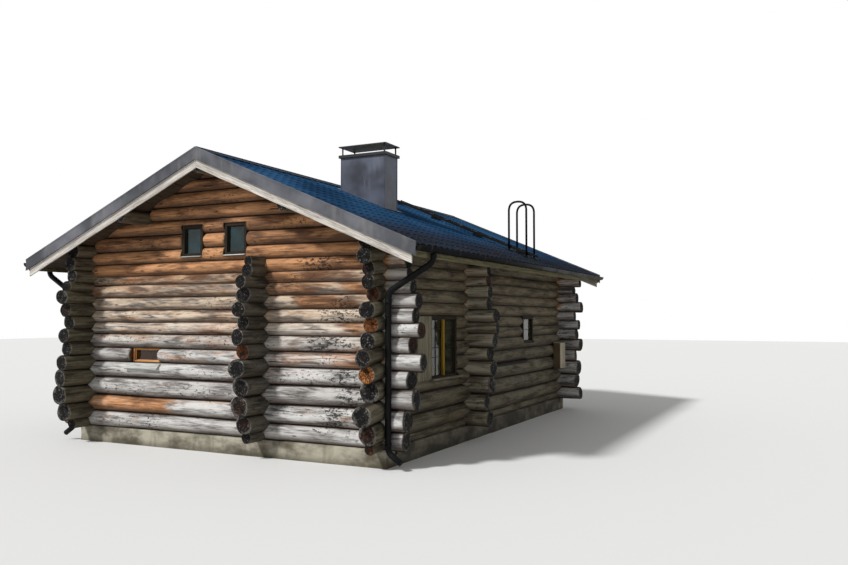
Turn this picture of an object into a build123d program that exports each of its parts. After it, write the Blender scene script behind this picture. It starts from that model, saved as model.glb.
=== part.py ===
# Log cabin: notched round logs on a low plinth, a metal roof over log purlins,
# two partitions whose ends show outside, and a sheet clad chimney.
# Millimetres. +X towards the long side with the chimney, +Y from the front gable
# to the back gable, +Z up. The origin is on the ground under the middle of the roof.
import os
from math import asin, cos, radians, sin, sqrt, tan

from build123d import *

# Walls
gable_width = 5840
wall_length = 8120
plinth_height = 250
course_height = 220
log_inset = 125
log_seat = 110
log_facets = 3
seam = 0.4
fit = 0.2
gap = 0.3

# Height of each gable course as a share of the course height, thick logs at the foot
gable_shares = (1.14, 1.29, 1.30, 1.15, 1.02, 1.03, 0.85, 0.91, 0.92, 0.87, 0.71, 0.90, 0.94)
upper_shares = (1.03, 1.02, 1.00, 0.98, 0.93, 0.96)

# Log ends past the corners, a common length and an uneven share for each course
stub_length = 400
stub_shares = (1.05, 0.82, 1.20, 0.95, 0.78, 1.12, 0.90, 1.02, 0.85, 1.15, 0.92)

# Lengths of the log ends at the front corner and the partitions, from the lowest course up
right_front_stubs = (250, 290, 425, 230, 330, 405, 305, 215, 300, 160, 290, 285, 385, 330)
left_front_stubs = (300, 450, 540, 540, 520, 420, 480, 380, 460, 540, 450, 350, 380, 330)
long_partition_stubs = (300, 380, 470, 450, 540, 410, 530, 400, 510, 400, 475, 320, 300)
gable_right_stubs = (250, 270, 405, 330, 510, 345, 480, 390, 435, 350, 300, 280, 250)
cross_partition_stubs = (350, 300, 390, 420, 360, 450, 490, 470, 340, 360, 330, 340)

# Partitions
long_partition_x = 800
cross_partition_y = -1190
doorway_width = 800
doorway_height = 2050
left_doorway_x = -500
right_doorway_x = 2080
rear_doorway_y = 1800

# Roof
roof_pitch = radians(23)
eave_overhang = 725
gable_overhang = 560
plate_trim = 10
deck_thickness = 100
sheet_thickness = 25
sheet_drip = 40
barge_depth = 175
barge_thickness = 30
barge_lip = 15
rake_drop = 150
rake_thickness = 25
fascia_thickness = 25
fascia_drop = 165
purlin_radius = 110
purlin_sides = 16
purlin_x = 1560
ridge_cap_width = 150
ridge_cap_thickness = 12

# Gutters and downspouts
gutter_radius = 65
gutter_wall = 4
gutter_drop = 20
gutter_sides = 16
pipe_radius = 44
pipe_wall = 4
pipe_clearance = 12
shoe_reach = 200
shoe_height = 110
shoe_fall = 130
pipe_elbow = 110
pipe_fall = 390
pipe_bend = 80
pipe_sides = 10
elbow_runs = 2
tube_sides = 8
tube_runs = 4

# Floors and plinth
plinth_width = 330
ledge_width = 80
floor_thickness = 100
loft_floor_thickness = 50

# Chimney
chimney_width = 900
chimney_depth = 450
chimney_x = 940
chimney_y = -1175
chimney_top = 4900
cladding_thickness = 8
flashing_width = 60
flashing_thickness = 6
flue_width = 200
flue_spacing = 400
flue_depth = 1200
crown_lip = 35
crown_thickness = 50
cap_gap = 140
cap_thickness = 30
cap_leg = 40

# Windows and the back door
frame_depth = 90
frame_bar = 50
frame_recess = 20
sill_depth = 60
sill_lip = 60
sill_thickness = 25
glass_thickness = 8
side_window_width = 960
side_window_y = -2180
rear_window_width = 600
rear_window_y = 1780
sauna_window_width = 580
sauna_window_x = -1550
loft_window_width = 420
loft_window_height = 500
loft_window_rise = 70
loft_window_xs = (-555, 295)
door_width = 900
door_x = -1500
door_thickness = 45
casing_width = 230
casing_thickness = 110

# Meter cabinet and roof ladder hoops
cabinet_width = 370
cabinet_depth = 160
cabinet_height = 570
cabinet_y = 3520
cabinet_z = 930
hoop_spacing = 450
hoop_height = 900
hoop_reach = 350
hoop_radius = 20
hoop_bend = 170
hoop_pad = 140
hoop_pad_thickness = 10
hoop_x = 2850
hoop_y = 1075
ladder_width = 400
ladder_from = 260
ladder_to = 3300
ladder_rail_width = 20
ladder_rail_depth = 45
ladder_stand = 45
ladder_foot = 60
ladder_feet_from = (260, 1170, 2080, 2980)
rung_radius = 14
rung_sides = 6
rung_pitch = 320


def running_levels(start, shares):
    """Heights of the seams between courses that start at one level."""
    levels = [start]
    for share in shares:
        levels.append(levels[-1] + share * course_height)
    return levels


gable_levels = running_levels(plinth_height, gable_shares)
wall_courses = len(gable_shares)
all_gable_levels = running_levels(plinth_height, gable_shares + upper_shares)
side_levels = [plinth_height]
for course in range(wall_courses + 1):
    side_levels.append((all_gable_levels[course] + all_gable_levels[course + 1]) / 2)

half_width = gable_width / 2
half_length = wall_length / 2
side_axis = half_width - log_inset
gable_axis = half_length - log_inset
slope = tan(roof_pitch)
plate_top = side_levels[-1]
under_axis = plate_top - plate_trim
under_ridge = under_axis + side_axis * slope
roof_length = wall_length + 2 * gable_overhang
eave_x = half_width + eave_overhang
fascia_x = eave_x - sheet_drip
deck_x = fascia_x - fascia_thickness
deck_rise = deck_thickness / cos(roof_pitch)
sheet_rise = sheet_thickness / cos(roof_pitch)
deck_half_length = roof_length / 2 - barge_thickness


def under(x):
    """Height of the roof boards' underside at a distance from the ridge."""
    return under_ridge - abs(x) * slope


def log_radius(height):
    return sqrt((height / 2) ** 2 + (log_seat / 2) ** 2)


def flank_angles(height, radius):
    """Angles of the corners of a log's faceted flank, from its lower to its upper seat."""
    lift = asin(height / 2 / radius)
    return [lift * (2 * step / log_facets - 1) for step in range(log_facets + 1)]


def log_reach(height):
    """How far a log's flank stands out from its centre line."""
    radius = log_radius(height)
    return radius * max(cos(angle) for angle in flank_angles(height, radius))


def section_face(height, radius, up=0):
    """A log's section about its centre: flat seats and faceted flanks."""
    right = [(radius * cos(angle), radius * sin(angle)) for angle in flank_angles(height, radius)]
    left = [(-x, y) for x, y in reversed(right)]
    Polygon(*[(x, up + y) for x, y in right + left], align=None)


def along_x(x, y, z):
    return Plane(origin=(x, y, z), x_dir=(0, 1, 0), z_dir=(1, 0, 0))


def along_y(x, y, z):
    return Plane(origin=(x, y, z), x_dir=(-1, 0, 0), z_dir=(0, 1, 0))


def stub(course, turn):
    return stub_length * stub_shares[(course + turn) % len(stub_shares)]


def lay_log(plane_at, start, end, offset, low, high):
    """One log of a course, between two places along its wall."""
    height = high - low - seam
    middle = (low + high) / 2
    if plane_at is along_x:
        plane = along_x(start, offset, middle)
    else:
        plane = along_y(offset, start, middle)
    with BuildSketch(plane) as section:
        section_face(height, log_radius(height))
    extrude(section.sketch, amount=end - start)


def cut_saddles(plane_at, offset, centre, reach, own_levels, cross_levels):
    """Saddles in the undersides of a wall's logs, over the logs that cross them."""
    if plane_at is along_x:
        plane = along_x(centre - reach, offset, 0)
    else:
        plane = along_y(offset, centre - reach, 0)
    with BuildSketch(plane) as saddles:
        for low, high in zip(cross_levels, cross_levels[1:]):
            seams = [level for level in own_levels[:-1] if low <= level < high]
            if not seams:
                continue
            middle = (low + high) / 2
            radius = log_radius(high - low) + fit
            section_face(high - low, radius, up=middle)
            if seams[0] > low:
                with Locations((0, (low + seams[0]) / 2)):
                    Rectangle(2 * radius, seams[0] - low, mode=Mode.SUBTRACT)
    extrude(saddles.sketch, amount=2 * reach, mode=Mode.SUBTRACT)


def cut_box(low, high):
    """Takes a box between two corners out of the current piece."""
    size = [top - bottom for bottom, top in zip(low, high)]
    middle = [(top + bottom) / 2 for bottom, top in zip(low, high)]
    with Locations(tuple(middle)):
        Box(*size, mode=Mode.SUBTRACT)


def finish(piece, name):
    piece.part.label = name
    export_step(piece.part, f"parts/{name}.step")
    print(name, len(piece.part.solids()), "solids", round(piece.part.volume / 1e9, 3), "m3")


os.makedirs("parts", exist_ok=True)
saddle_reach = 220
thickest = log_reach(max(gable_shares) * course_height)
cross_levels = gable_levels[:-1]
long_levels = side_levels[:-2] + [cross_levels[-1]]

side_window_low = side_levels[3] + 0.6 * (side_levels[4] - side_levels[3])
rear_window_low = side_levels[5] + 0.4 * (side_levels[6] - side_levels[5])
side_window_high = side_levels[8]
sauna_low, sauna_high = gable_levels[4:6]
loft_low = gable_levels[-2] + loft_window_rise
loft_high = loft_low + loft_window_height
door_high = gable_levels[9]

# Foundation strips with an inner ledge for the floor
inner_x = half_width - plinth_width
inner_y = half_length - plinth_width
ledge_top = plinth_height - floor_thickness
with BuildPart() as foundation_gables:
    for side in (-1, 1):
        outer = side * half_length
        step = side * (inner_y + ledge_width)
        inner = side * inner_y
        with BuildSketch(Plane.YZ.offset(-half_width)):
            with BuildLine():
                Polyline(
                    (outer, 0), (outer, plinth_height), (step, plinth_height),
                    (step, ledge_top), (inner, ledge_top), (inner, 0), close=True,
                )
            make_face()
        extrude(amount=gable_width)
finish(foundation_gables, "foundation_gables")

with BuildPart() as foundation_sides:
    for side in (-1, 1):
        outer = side * half_width
        step = side * (inner_x + ledge_width)
        inner = side * inner_x
        with BuildSketch(Plane.XZ.offset(-inner_y + gap)):
            with BuildLine():
                Polyline(
                    (outer, 0), (outer, plinth_height), (step, plinth_height),
                    (step, ledge_top), (inner, ledge_top), (inner, 0), close=True,
                )
            make_face()
        extrude(amount=2 * (inner_y - gap))
finish(foundation_sides, "foundation_sides")

stack_width = chimney_width - 2 * cladding_thickness
stack_depth = chimney_depth - 2 * cladding_thickness
stack_gap = 3
stack_low = (chimney_x - stack_width / 2 - stack_gap, chimney_y - stack_depth / 2 - stack_gap)
stack_high = (chimney_x + stack_width / 2 + stack_gap, chimney_y + stack_depth / 2 + stack_gap)


def cut_stack_way(bottom, top):
    """The way of the chimney stack through a floor or the roof boards."""
    cut_box((*stack_low, bottom), (*stack_high, top))


with BuildPart() as ground_floor:
    with BuildSketch(Plane.XY.offset(ledge_top + gap)):
        Rectangle(2 * (inner_x + ledge_width - gap), 2 * (inner_y + ledge_width - gap))
    extrude(amount=floor_thickness - gap)
    cut_stack_way(0, plinth_height + 1)
finish(ground_floor, "ground_floor")

# Gable walls: courses along X, over the side walls and the long partition
corner_crossings = ((-side_axis, side_levels), (side_axis, side_levels))


def trim_to_slope(side):
    """Cuts off what reaches past the boards of one roof slope."""
    inner = side * (side_axis - thickest)
    outer = side * (half_width + 2 * stub_length)
    with BuildSketch(Plane.XZ.offset(-half_length - 2 * stub_length)) as trim:
        Polygon(
            (inner, under(inner) - gap), (outer, under(outer) - gap),
            (outer, under_ridge), (inner, under_ridge), align=None,
        )
    extrude(trim.sketch, amount=wall_length + 4 * stub_length, mode=Mode.SUBTRACT)


def gable_wall(side):
    """The full length courses of a gable wall, below the eaves."""
    y = side * gable_axis
    for course in range(wall_courses):
        start = -half_width - stub(course, 0)
        end = half_width + (gable_right_stubs[course] if side < 0 else stub(course, 5))
        lay_log(along_x, start, end, y, gable_levels[course], gable_levels[course + 1])
    for x, levels in corner_crossings + ((long_partition_x, long_levels),):
        cut_saddles(along_y, x, y, saddle_reach, gable_levels, levels)
    for slope_side in (-1, 1):
        trim_to_slope(slope_side)


def gable_triangle(side):
    """The courses of a gable above the eaves, cut to the roof's slope."""
    y = side * gable_axis
    edge = side_axis - log_reach(side_levels[-1] - side_levels[-2]) - gap
    levels = all_gable_levels[wall_courses:]
    for low, high in zip(levels, levels[1:]):
        lay_log(along_x, -half_width, half_width, y, low, high)
    with BuildSketch(Plane.XZ.offset(-y - saddle_reach)) as triangle:
        Polygon(
            (-edge, gable_levels[-1]), (edge, gable_levels[-1]), (edge, under(edge) - gap),
            (0, under_ridge - gap), (-edge, under(edge) - gap), align=None,
        )
    extrude(triangle.sketch, amount=2 * saddle_reach, mode=Mode.INTERSECT)
    with BuildSketch(Plane.XZ.offset(-y - saddle_reach)) as purlin_slots:
        for x in (-purlin_x, 0, purlin_x):
            centre = under(x) - purlin_drop
            with Locations((x, centre)):
                RegularPolygon(purlin_radius + fit, purlin_sides)
            with Locations((x, centre + purlin_radius)):
                Rectangle(2 * (purlin_radius + fit), 2 * purlin_radius)
    extrude(purlin_slots.sketch, amount=2 * saddle_reach, mode=Mode.SUBTRACT)


def cut_loft_windows(side):
    for x in loft_window_xs:
        cut_box(
            (x - loft_window_width / 2, side * gable_axis - saddle_reach, loft_low),
            (x + loft_window_width / 2, side * gable_axis + saddle_reach, loft_high),
        )


purlin_drop = (purlin_radius + gap) / cos(roof_pitch)
with BuildPart() as front_gable_wall:
    gable_wall(-1)
    cut_loft_windows(-1)
    cut_box(
        (sauna_window_x - sauna_window_width / 2, -gable_axis - saddle_reach, sauna_low),
        (sauna_window_x + sauna_window_width / 2, -gable_axis + saddle_reach, sauna_high),
    )
finish(front_gable_wall, "front_gable_wall")

with BuildPart() as back_gable_wall:
    gable_wall(1)
    cut_loft_windows(1)
    cut_box(
        (door_x - door_width / 2, gable_axis - saddle_reach, plinth_height),
        (door_x + door_width / 2, gable_axis + saddle_reach, door_high),
    )
finish(back_gable_wall, "back_gable_wall")

with BuildPart() as front_gable_upper:
    gable_triangle(-1)
    cut_loft_windows(-1)
finish(front_gable_upper, "front_gable_upper")

with BuildPart() as back_gable_upper:
    gable_triangle(1)
    cut_loft_windows(1)
finish(back_gable_upper, "back_gable_upper")

# Side walls: courses along Y, half a course above those of the gables


def side_wall(side):
    """The courses of a long wall, its top log trimmed to the roof's slope."""
    x = side * side_axis
    front_stubs = right_front_stubs if side > 0 else left_front_stubs
    for course in range(wall_courses + 1):
        start = -half_length - front_stubs[course]
        end = half_length + stub(course, 7 + side)
        lay_log(along_y, start, end, x, side_levels[course], side_levels[course + 1])
    crossings = ((-gable_axis, gable_levels), (gable_axis, gable_levels))
    for y, levels in crossings + ((cross_partition_y, cross_levels),):
        cut_saddles(along_x, y, x, saddle_reach, side_levels, levels)
    trim_to_slope(side)
    windows = (
        (side_window_y - casing_width / 2, side_window_width + casing_width, side_window_low),
        (rear_window_y, rear_window_width, rear_window_low),
    )
    for y, width, low in windows:
        cut_box(
            (x - saddle_reach, y - width / 2, low),
            (x + saddle_reach, y + width / 2, side_window_high),
        )


with BuildPart() as right_wall:
    side_wall(1)
finish(right_wall, "right_wall")

with BuildPart() as left_wall:
    side_wall(-1)
finish(left_wall, "left_wall")

# Partitions: their logs run out through the walls and stop short of the stack
def cut_doorway(x, y, along):
    """A doorway through a partition, down to the floor."""
    reach_x = doorway_width / 2 if along == "x" else saddle_reach
    reach_y = doorway_width / 2 if along == "y" else saddle_reach
    top = plinth_height + doorway_height
    cut_box((x - reach_x, y - reach_y, plinth_height), (x + reach_x, y + reach_y, top))


with BuildPart() as long_partition:
    for course in range(len(long_levels) - 1):
        start = -half_length - long_partition_stubs[course]
        end = half_length + stub(course, 9)
        lay_log(along_y, start, end, long_partition_x, long_levels[course], long_levels[course + 1])
    for y in (-gable_axis, gable_axis):
        cut_saddles(along_x, y, long_partition_x, saddle_reach, long_levels, gable_levels)
    cut_stack_way(0, chimney_top)
    cut_doorway(long_partition_x, rear_doorway_y, "y")
finish(long_partition, "long_partition")

with BuildPart() as cross_partition:
    for course in range(len(cross_levels) - 1):
        start = -half_width - stub(course, 3)
        end = half_width + cross_partition_stubs[course]
        lay_log(along_x, start, end, cross_partition_y, cross_levels[course], cross_levels[course + 1])
    for x in (-side_axis, side_axis):
        cut_saddles(along_y, x, cross_partition_y, saddle_reach, cross_levels, side_levels)
    cut_stack_way(0, chimney_top)
    cut_doorway(left_doorway_x, cross_partition_y, "x")
    cut_doorway(right_doorway_x, cross_partition_y, "x")
finish(cross_partition, "cross_partition")

# Loft floor on the partitions
with BuildPart() as loft_floor:
    with BuildSketch(Plane.XY.offset(cross_levels[-1])):
        Rectangle(2 * (side_axis - thickest - gap), 2 * (gable_axis - thickest - gap))
    extrude(amount=loft_floor_thickness)
    cut_stack_way(cross_levels[-1] - 1, chimney_top)
finish(loft_floor, "loft_floor")

# Roof: purlins, boarded deck, metal sheets and the ridge cap
with BuildPart() as purlins:
    with BuildSketch(Plane.XZ.offset(-deck_half_length + rake_thickness + 2 * gap)):
        for x in (-purlin_x, 0, purlin_x):
            with Locations((x, under(x) - purlin_drop)):
                RegularPolygon(purlin_radius, purlin_sides)
    extrude(amount=2 * (deck_half_length - rake_thickness - 2 * gap))
finish(purlins, "purlins")


def slope_slab(side, inner, outer, low, high, near, far):
    """A slab on one roof slope, between two heights above the boards' underside."""
    with BuildSketch(Plane.XZ.offset(-far)) as section:
        Polygon(
            (side * inner, under(inner) + low), (side * outer, under(outer) + low),
            (side * outer, under(outer) + high), (side * inner, under(inner) + high), align=None,
        )
    extrude(section.sketch, amount=far - near)


def roof_deck(side):
    slope_slab(side, gap / 2, deck_x, 0, deck_rise, -deck_half_length, deck_half_length)


def roof_sheets(side):
    top = deck_rise + gap + sheet_rise
    slope_slab(side, gap / 2, eave_x, deck_rise + gap, top, -deck_half_length, deck_half_length)


with BuildPart() as roof_deck_right:
    roof_deck(1)
    cut_stack_way(plinth_height, chimney_top)
finish(roof_deck_right, "roof_deck_right")

with BuildPart() as roof_deck_left:
    roof_deck(-1)
finish(roof_deck_left, "roof_deck_left")

with BuildPart() as roof_sheets_right:
    roof_sheets(1)
    cut_stack_way(plinth_height, chimney_top)
finish(roof_sheets_right, "roof_sheets_right")

with BuildPart() as roof_sheets_left:
    roof_sheets(-1)
finish(roof_sheets_left, "roof_sheets_left")

sheet_top = deck_rise + gap + sheet_rise
cap_low = sheet_top + gap
cap_high = cap_low + ridge_cap_thickness / cos(roof_pitch)
with BuildPart() as ridge_cap:
    slope_slab(1, 0, ridge_cap_width, cap_low, cap_high, -deck_half_length, deck_half_length)
    slope_slab(-1, 0, ridge_cap_width, cap_low, cap_high, -deck_half_length, deck_half_length)
finish(ridge_cap, "ridge_cap")

# Rakes: a metal clad bargeboard and, behind its foot, a pale board
barge_top = sheet_top + barge_lip
barge_low = barge_top - barge_depth / cos(roof_pitch)
rake_low = -rake_drop / cos(roof_pitch)


def rake_pair(side, outer, low, high, near, far):
    """The same board on both slopes of one gable."""
    for slope_side in (-1, 1):
        slope_slab(slope_side, gap / 2, outer, low, high, *sorted((side * near, side * far)))


barge_back = deck_half_length + gap
rake_face = deck_half_length
rake_back = rake_face - rake_thickness
for side, name in ((-1, "front_bargeboards"), (1, "back_bargeboards")):
    with BuildPart() as bargeboards:
        rake_pair(side, eave_x, barge_low, barge_top, barge_back, roof_length / 2)
    finish(bargeboards, name)

with BuildPart() as rake_boards:
    for side in (-1, 1):
        rake_pair(side, deck_x, rake_low, -gap, rake_back, rake_face)
finish(rake_boards, "rake_boards")

# Eaves: a fascia board and a half round gutter on each side
fascia_top = under(fascia_x) + deck_rise
gutter_x = fascia_x + gap + gutter_radius
gutter_top = under(eave_x) + deck_rise - gutter_drop
pipe_y = -(gable_axis + thickest + pipe_clearance + pipe_radius)
with BuildPart() as fascia_boards:
    for side in (-1, 1):
        middle = side * (deck_x + gap + fascia_x) / 2
        with BuildSketch(Plane.XZ.offset(-deck_half_length)):
            with Locations((middle, fascia_top - fascia_drop / 2)):
                Rectangle(fascia_thickness - gap, fascia_drop)
        extrude(amount=2 * deck_half_length)
finish(fascia_boards, "fascia_boards")


def gutter(side):
    """A trough with closed ends, hung against the fascia."""
    for inner, near, far in (
        (gutter_radius - gutter_wall, -deck_half_length, deck_half_length),
        (0, -deck_half_length, gutter_wall - deck_half_length),
        (0, deck_half_length - gutter_wall, deck_half_length),
    ):
        with BuildSketch(Plane.XZ.offset(-far)) as section:
            with Locations((side * gutter_x, gutter_top)):
                RegularPolygon(gutter_radius, gutter_sides)
                if inner:
                    RegularPolygon(inner, gutter_sides, mode=Mode.SUBTRACT)
            with Locations((side * gutter_x, gutter_top + gutter_radius)):
                Rectangle(2 * gutter_radius, 2 * gutter_radius, mode=Mode.SUBTRACT)
        extrude(section.sketch, amount=far - near)
    with BuildSketch(Plane.XY.offset(gutter_top - gutter_radius - gap)) as outlet:
        with Locations((side * gutter_x, pipe_y)):
            RegularPolygon(pipe_radius - 2 * pipe_wall, pipe_sides)
    extrude(outlet.sketch, amount=gutter_radius, mode=Mode.SUBTRACT)


with BuildPart() as gutter_right:
    gutter(1)
finish(gutter_right, "gutter_right")

with BuildPart() as gutter_left:
    gutter(-1)
finish(gutter_left, "gutter_left")

pipe_x = side_axis + thickest + pipe_clearance + pipe_radius
pipe_top = gutter_top - gutter_radius - gap


def bent_route(corners, bend, runs):
    """Points of a route whose corners are rounded by short straight runs."""
    points = [Vector(*corners[0])]
    for before, corner, after in zip(corners, corners[1:], corners[2:]):
        middle = Vector(*corner)
        start = middle + (Vector(*before) - middle).normalized() * bend
        end = middle + (Vector(*after) - middle).normalized() * bend
        for run in range(runs + 1):
            share = run / runs
            points.append(start * (1 - share) ** 2 + middle * (2 * share * (1 - share)) + end * share ** 2)
    return points + [Vector(*corners[-1])]


def sweep_tube(points, radius, sides, mode=Mode.ADD):
    """A straight sided tube along a route that starts upright."""
    with BuildLine() as route:
        Polyline(*points)
    start = points[0]
    with BuildSketch(Plane.XY.offset(start.Z)) as section:
        with Locations((start.X, start.Y)):
            RegularPolygon(radius, sides)
    sweep(section.sketch, path=route.line, transition=Transition.RIGHT, mode=mode)


def downspout(side):
    """Pipe from the gutter's underside, across under the eave and down the corner."""
    corners = (
        (side * gutter_x, pipe_y, pipe_top),
        (side * gutter_x, pipe_y, pipe_top - pipe_elbow),
        (side * pipe_x, pipe_y, pipe_top - pipe_elbow - pipe_fall),
        (side * pipe_x, pipe_y, shoe_height + shoe_fall),
        (side * (pipe_x + shoe_reach), pipe_y, shoe_height),
    )
    points = bent_route(corners, pipe_bend, elbow_runs)
    sweep_tube(points, pipe_radius, pipe_sides)
    sweep_tube(points, pipe_radius - pipe_wall, pipe_sides, mode=Mode.SUBTRACT)


with BuildPart() as downspout_right:
    downspout(1)
finish(downspout_right, "downspout_right")

with BuildPart() as downspout_left:
    downspout(-1)
finish(downspout_left, "downspout_left")

# Chimney: masonry stack, sheet cladding above the roof, crown and rain cap
with BuildPart() as chimney_stack:
    with BuildSketch():
        with Locations((chimney_x, chimney_y)):
            Rectangle(stack_width, stack_depth)
    extrude(amount=chimney_top)
    with BuildSketch(Plane.XY.offset(chimney_top)):
        with Locations((chimney_x, chimney_y)):
            with GridLocations(flue_spacing, 0, 2, 1):
                Rectangle(flue_width, flue_width)
    extrude(amount=-flue_depth, mode=Mode.SUBTRACT)
finish(chimney_stack, "chimney_stack")

chimney_left = chimney_x - chimney_width / 2
chimney_right = chimney_x + chimney_width / 2
chimney_back = chimney_y + chimney_depth / 2
with BuildPart() as chimney_cladding:
    with BuildSketch(Plane.XZ.offset(-chimney_back)):
        with BuildLine():
            Polyline(
                (chimney_left, under(chimney_left) + sheet_top + gap), (chimney_left, chimney_top),
                (chimney_right, chimney_top), (chimney_right, under(chimney_right) + sheet_top + gap),
                close=True,
            )
        make_face()
    extrude(amount=chimney_depth)
    flashing_left = chimney_left - flashing_width
    flashing_right = chimney_right + flashing_width
    low = sheet_top + gap
    with BuildSketch(Plane.XZ.offset(-chimney_back - flashing_width)):
        with BuildLine():
            Polyline(
                (flashing_left, under(flashing_left) + low), (flashing_right, under(flashing_right) + low),
                (flashing_right, under(flashing_right) + low + flashing_thickness),
                (flashing_left, under(flashing_left) + low + flashing_thickness), close=True,
            )
        make_face()
    extrude(amount=chimney_depth + 2 * flashing_width)
    with Locations((chimney_x, chimney_y, chimney_top / 2)):
        Box(stack_width + 2 * gap, stack_depth + 2 * gap, chimney_top, mode=Mode.SUBTRACT)
finish(chimney_cladding, "chimney_cladding")

with BuildPart() as chimney_crown:
    with BuildSketch(Plane.XY.offset(chimney_top + gap)):
        with Locations((chimney_x, chimney_y)):
            Rectangle(chimney_width + 2 * crown_lip, chimney_depth + 2 * crown_lip)
        with Locations((chimney_x, chimney_y)):
            with GridLocations(flue_spacing, 0, 2, 1):
                Rectangle(flue_width, flue_width, mode=Mode.SUBTRACT)
    extrude(amount=crown_thickness)
finish(chimney_crown, "chimney_crown")

crown_top = chimney_top + gap + crown_thickness
with BuildPart() as chimney_cap:
    with BuildSketch(Plane.XY.offset(crown_top + gap)):
        with Locations((chimney_x, chimney_y)):
            with GridLocations(chimney_width - cap_leg, chimney_depth - cap_leg, 2, 2):
                Rectangle(cap_leg, cap_leg)
    extrude(amount=cap_gap)
    with BuildSketch(Plane.XY.offset(crown_top + gap + cap_gap)):
        with Locations((chimney_x, chimney_y)):
            Rectangle(chimney_width + 2 * crown_lip, chimney_depth + 2 * crown_lip)
    extrude(amount=cap_thickness)
finish(chimney_cap, "chimney_cap")


# Windows: a frame with its lights cut out, and a pane in each light
def window_lights(width, height, count):
    """Centres across a window, width and height of its lights."""
    light_width = (width - 2 * gap - (count + 1) * frame_bar) / count
    light_height = height - 2 * gap - 2 * frame_bar
    pitch = light_width + frame_bar
    centres = [pitch * (light - (count - 1) / 2) for light in range(count)]
    return centres, light_width, light_height


def window_frame(plane, width, height, count):
    centres, light_width, light_height = window_lights(width, height, count)
    with BuildSketch(plane) as section:
        Rectangle(width - 2 * gap, height - 2 * gap)
        with Locations(*[(centre, 0) for centre in centres]):
            Rectangle(light_width, light_height, mode=Mode.SUBTRACT)
    extrude(section.sketch, amount=-frame_depth)


def window_panes(plane, width, height, count):
    centres, light_width, light_height = window_lights(width, height, count)
    with BuildSketch(plane.offset(-frame_depth / 2)) as section:
        with Locations(*[(centre, 0) for centre in centres]):
            Rectangle(light_width - 2 * gap, light_height - 2 * gap)
    extrude(section.sketch, amount=-glass_thickness)


def side_windows(side, make):
    """Makes the frames or the panes of a long wall's two windows."""
    windows = (
        (side_window_y, side_window_width, side_window_low, 2),
        (rear_window_y, rear_window_width, rear_window_low, 1),
    )
    for y, width, low, count in windows:
        middle = (low + side_window_high) / 2
        plane = Plane((side * (half_width - frame_recess), y, middle), (0, side, 0), (side, 0, 0))
        make(plane, width, side_window_high - low, count)


def loft_windows(side, make):
    """Makes the frames or the panes of a gable's two loft windows."""
    for x in loft_window_xs:
        middle = (loft_low + loft_high) / 2
        plane = Plane((x, side * (half_length - frame_recess), middle), (-side, 0, 0), (0, side, 0))
        make(plane, loft_window_width, loft_window_height, 1)


def sauna_window(make):
    """Makes the frame or the pane of the window one log high."""
    plane = Plane.XZ.offset(half_length - frame_recess)
    plane.origin = (sauna_window_x, plane.origin.Y, (sauna_low + sauna_high) / 2)
    make(plane, sauna_window_width, sauna_high - sauna_low, 1)


kinds = ((window_frame, "window_frames"), (window_panes, "window_panes"))
for make, kind in kinds:
    for side, wall in ((1, "right"), (-1, "left")):
        with BuildPart() as windows:
            side_windows(side, make)
        finish(windows, f"{wall}_{kind}")
    with BuildPart() as front_windows:
        loft_windows(-1, make)
        sauna_window(make)
    finish(front_windows, f"front_{kind}")
    with BuildPart() as back_windows:
        loft_windows(1, make)
    finish(back_windows, f"back_{kind}")

# Sills: level boards under the wide side windows, a sloped one under the sauna window


def side_face(low, high):
    """How far a long wall's logs reach out between two heights."""
    courses = zip(side_levels, side_levels[1:])
    heights = [top - bottom for bottom, top in courses if bottom < high and top > low]
    return side_axis + max(log_reach(height - seam) for height in heights)


frame_face = half_width - frame_recess
sill_face = side_face(side_window_low, side_window_low + sill_thickness)
with BuildPart() as window_sills:
    for side in (-1, 1):
        with BuildSketch(Plane.XY.offset(side_window_low + gap)):
            with Locations((side * (frame_face + gap + sill_face) / 2, side_window_y)):
                Rectangle(sill_face - frame_face - gap + 2 * gap, side_window_width - 2 * gap)
            with Locations((side * (sill_face + gap + sill_depth / 2), side_window_y)):
                Rectangle(sill_depth, side_window_width + 2 * sill_lip)
        extrude(amount=sill_thickness)
    sill_log = gable_levels[4] - gable_levels[3]
    sill_radius = log_radius(sill_log)
    lower, lift = flank_angles(sill_log, sill_radius)[-2:]
    tilt = (lift + lower) / 2
    flat = sill_radius * cos((lift - lower) / 2) + gap
    with BuildSketch(Plane.YZ.offset(sauna_window_x - sauna_window_width / 2 - sill_lip)):
        middle = (gable_levels[3] + gable_levels[4]) / 2
        half_facet = sill_radius * sin((lift - lower) / 2)
        upper_run = half_facet / 5
        lower_run = -half_facet - sill_depth
        corners = []
        edges = ((0, upper_run), (0, lower_run), (sill_thickness, lower_run), (sill_thickness, upper_run))
        for out, run in edges:
            across = (flat + out) * cos(tilt) - run * sin(tilt)
            up = (flat + out) * sin(tilt) + run * cos(tilt)
            corners.append((-gable_axis - across, middle + up))
        with BuildLine():
            Polyline(*corners, close=True)
        make_face()
    extrude(amount=sauna_window_width + 2 * sill_lip)
finish(window_sills, "window_sills")

casing_y = side_window_y - (side_window_width + casing_width) / 2
casing_height = side_window_high - side_window_low - 2 * gap
with BuildPart() as window_casings:
    for side in (-1, 1):
        casing_x = side * (half_width - casing_thickness / 2)
        with Locations((casing_x, casing_y, side_window_low + gap + casing_height / 2)):
            Box(casing_thickness, casing_width - 2 * gap, casing_height)
finish(window_casings, "window_casings")

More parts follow.
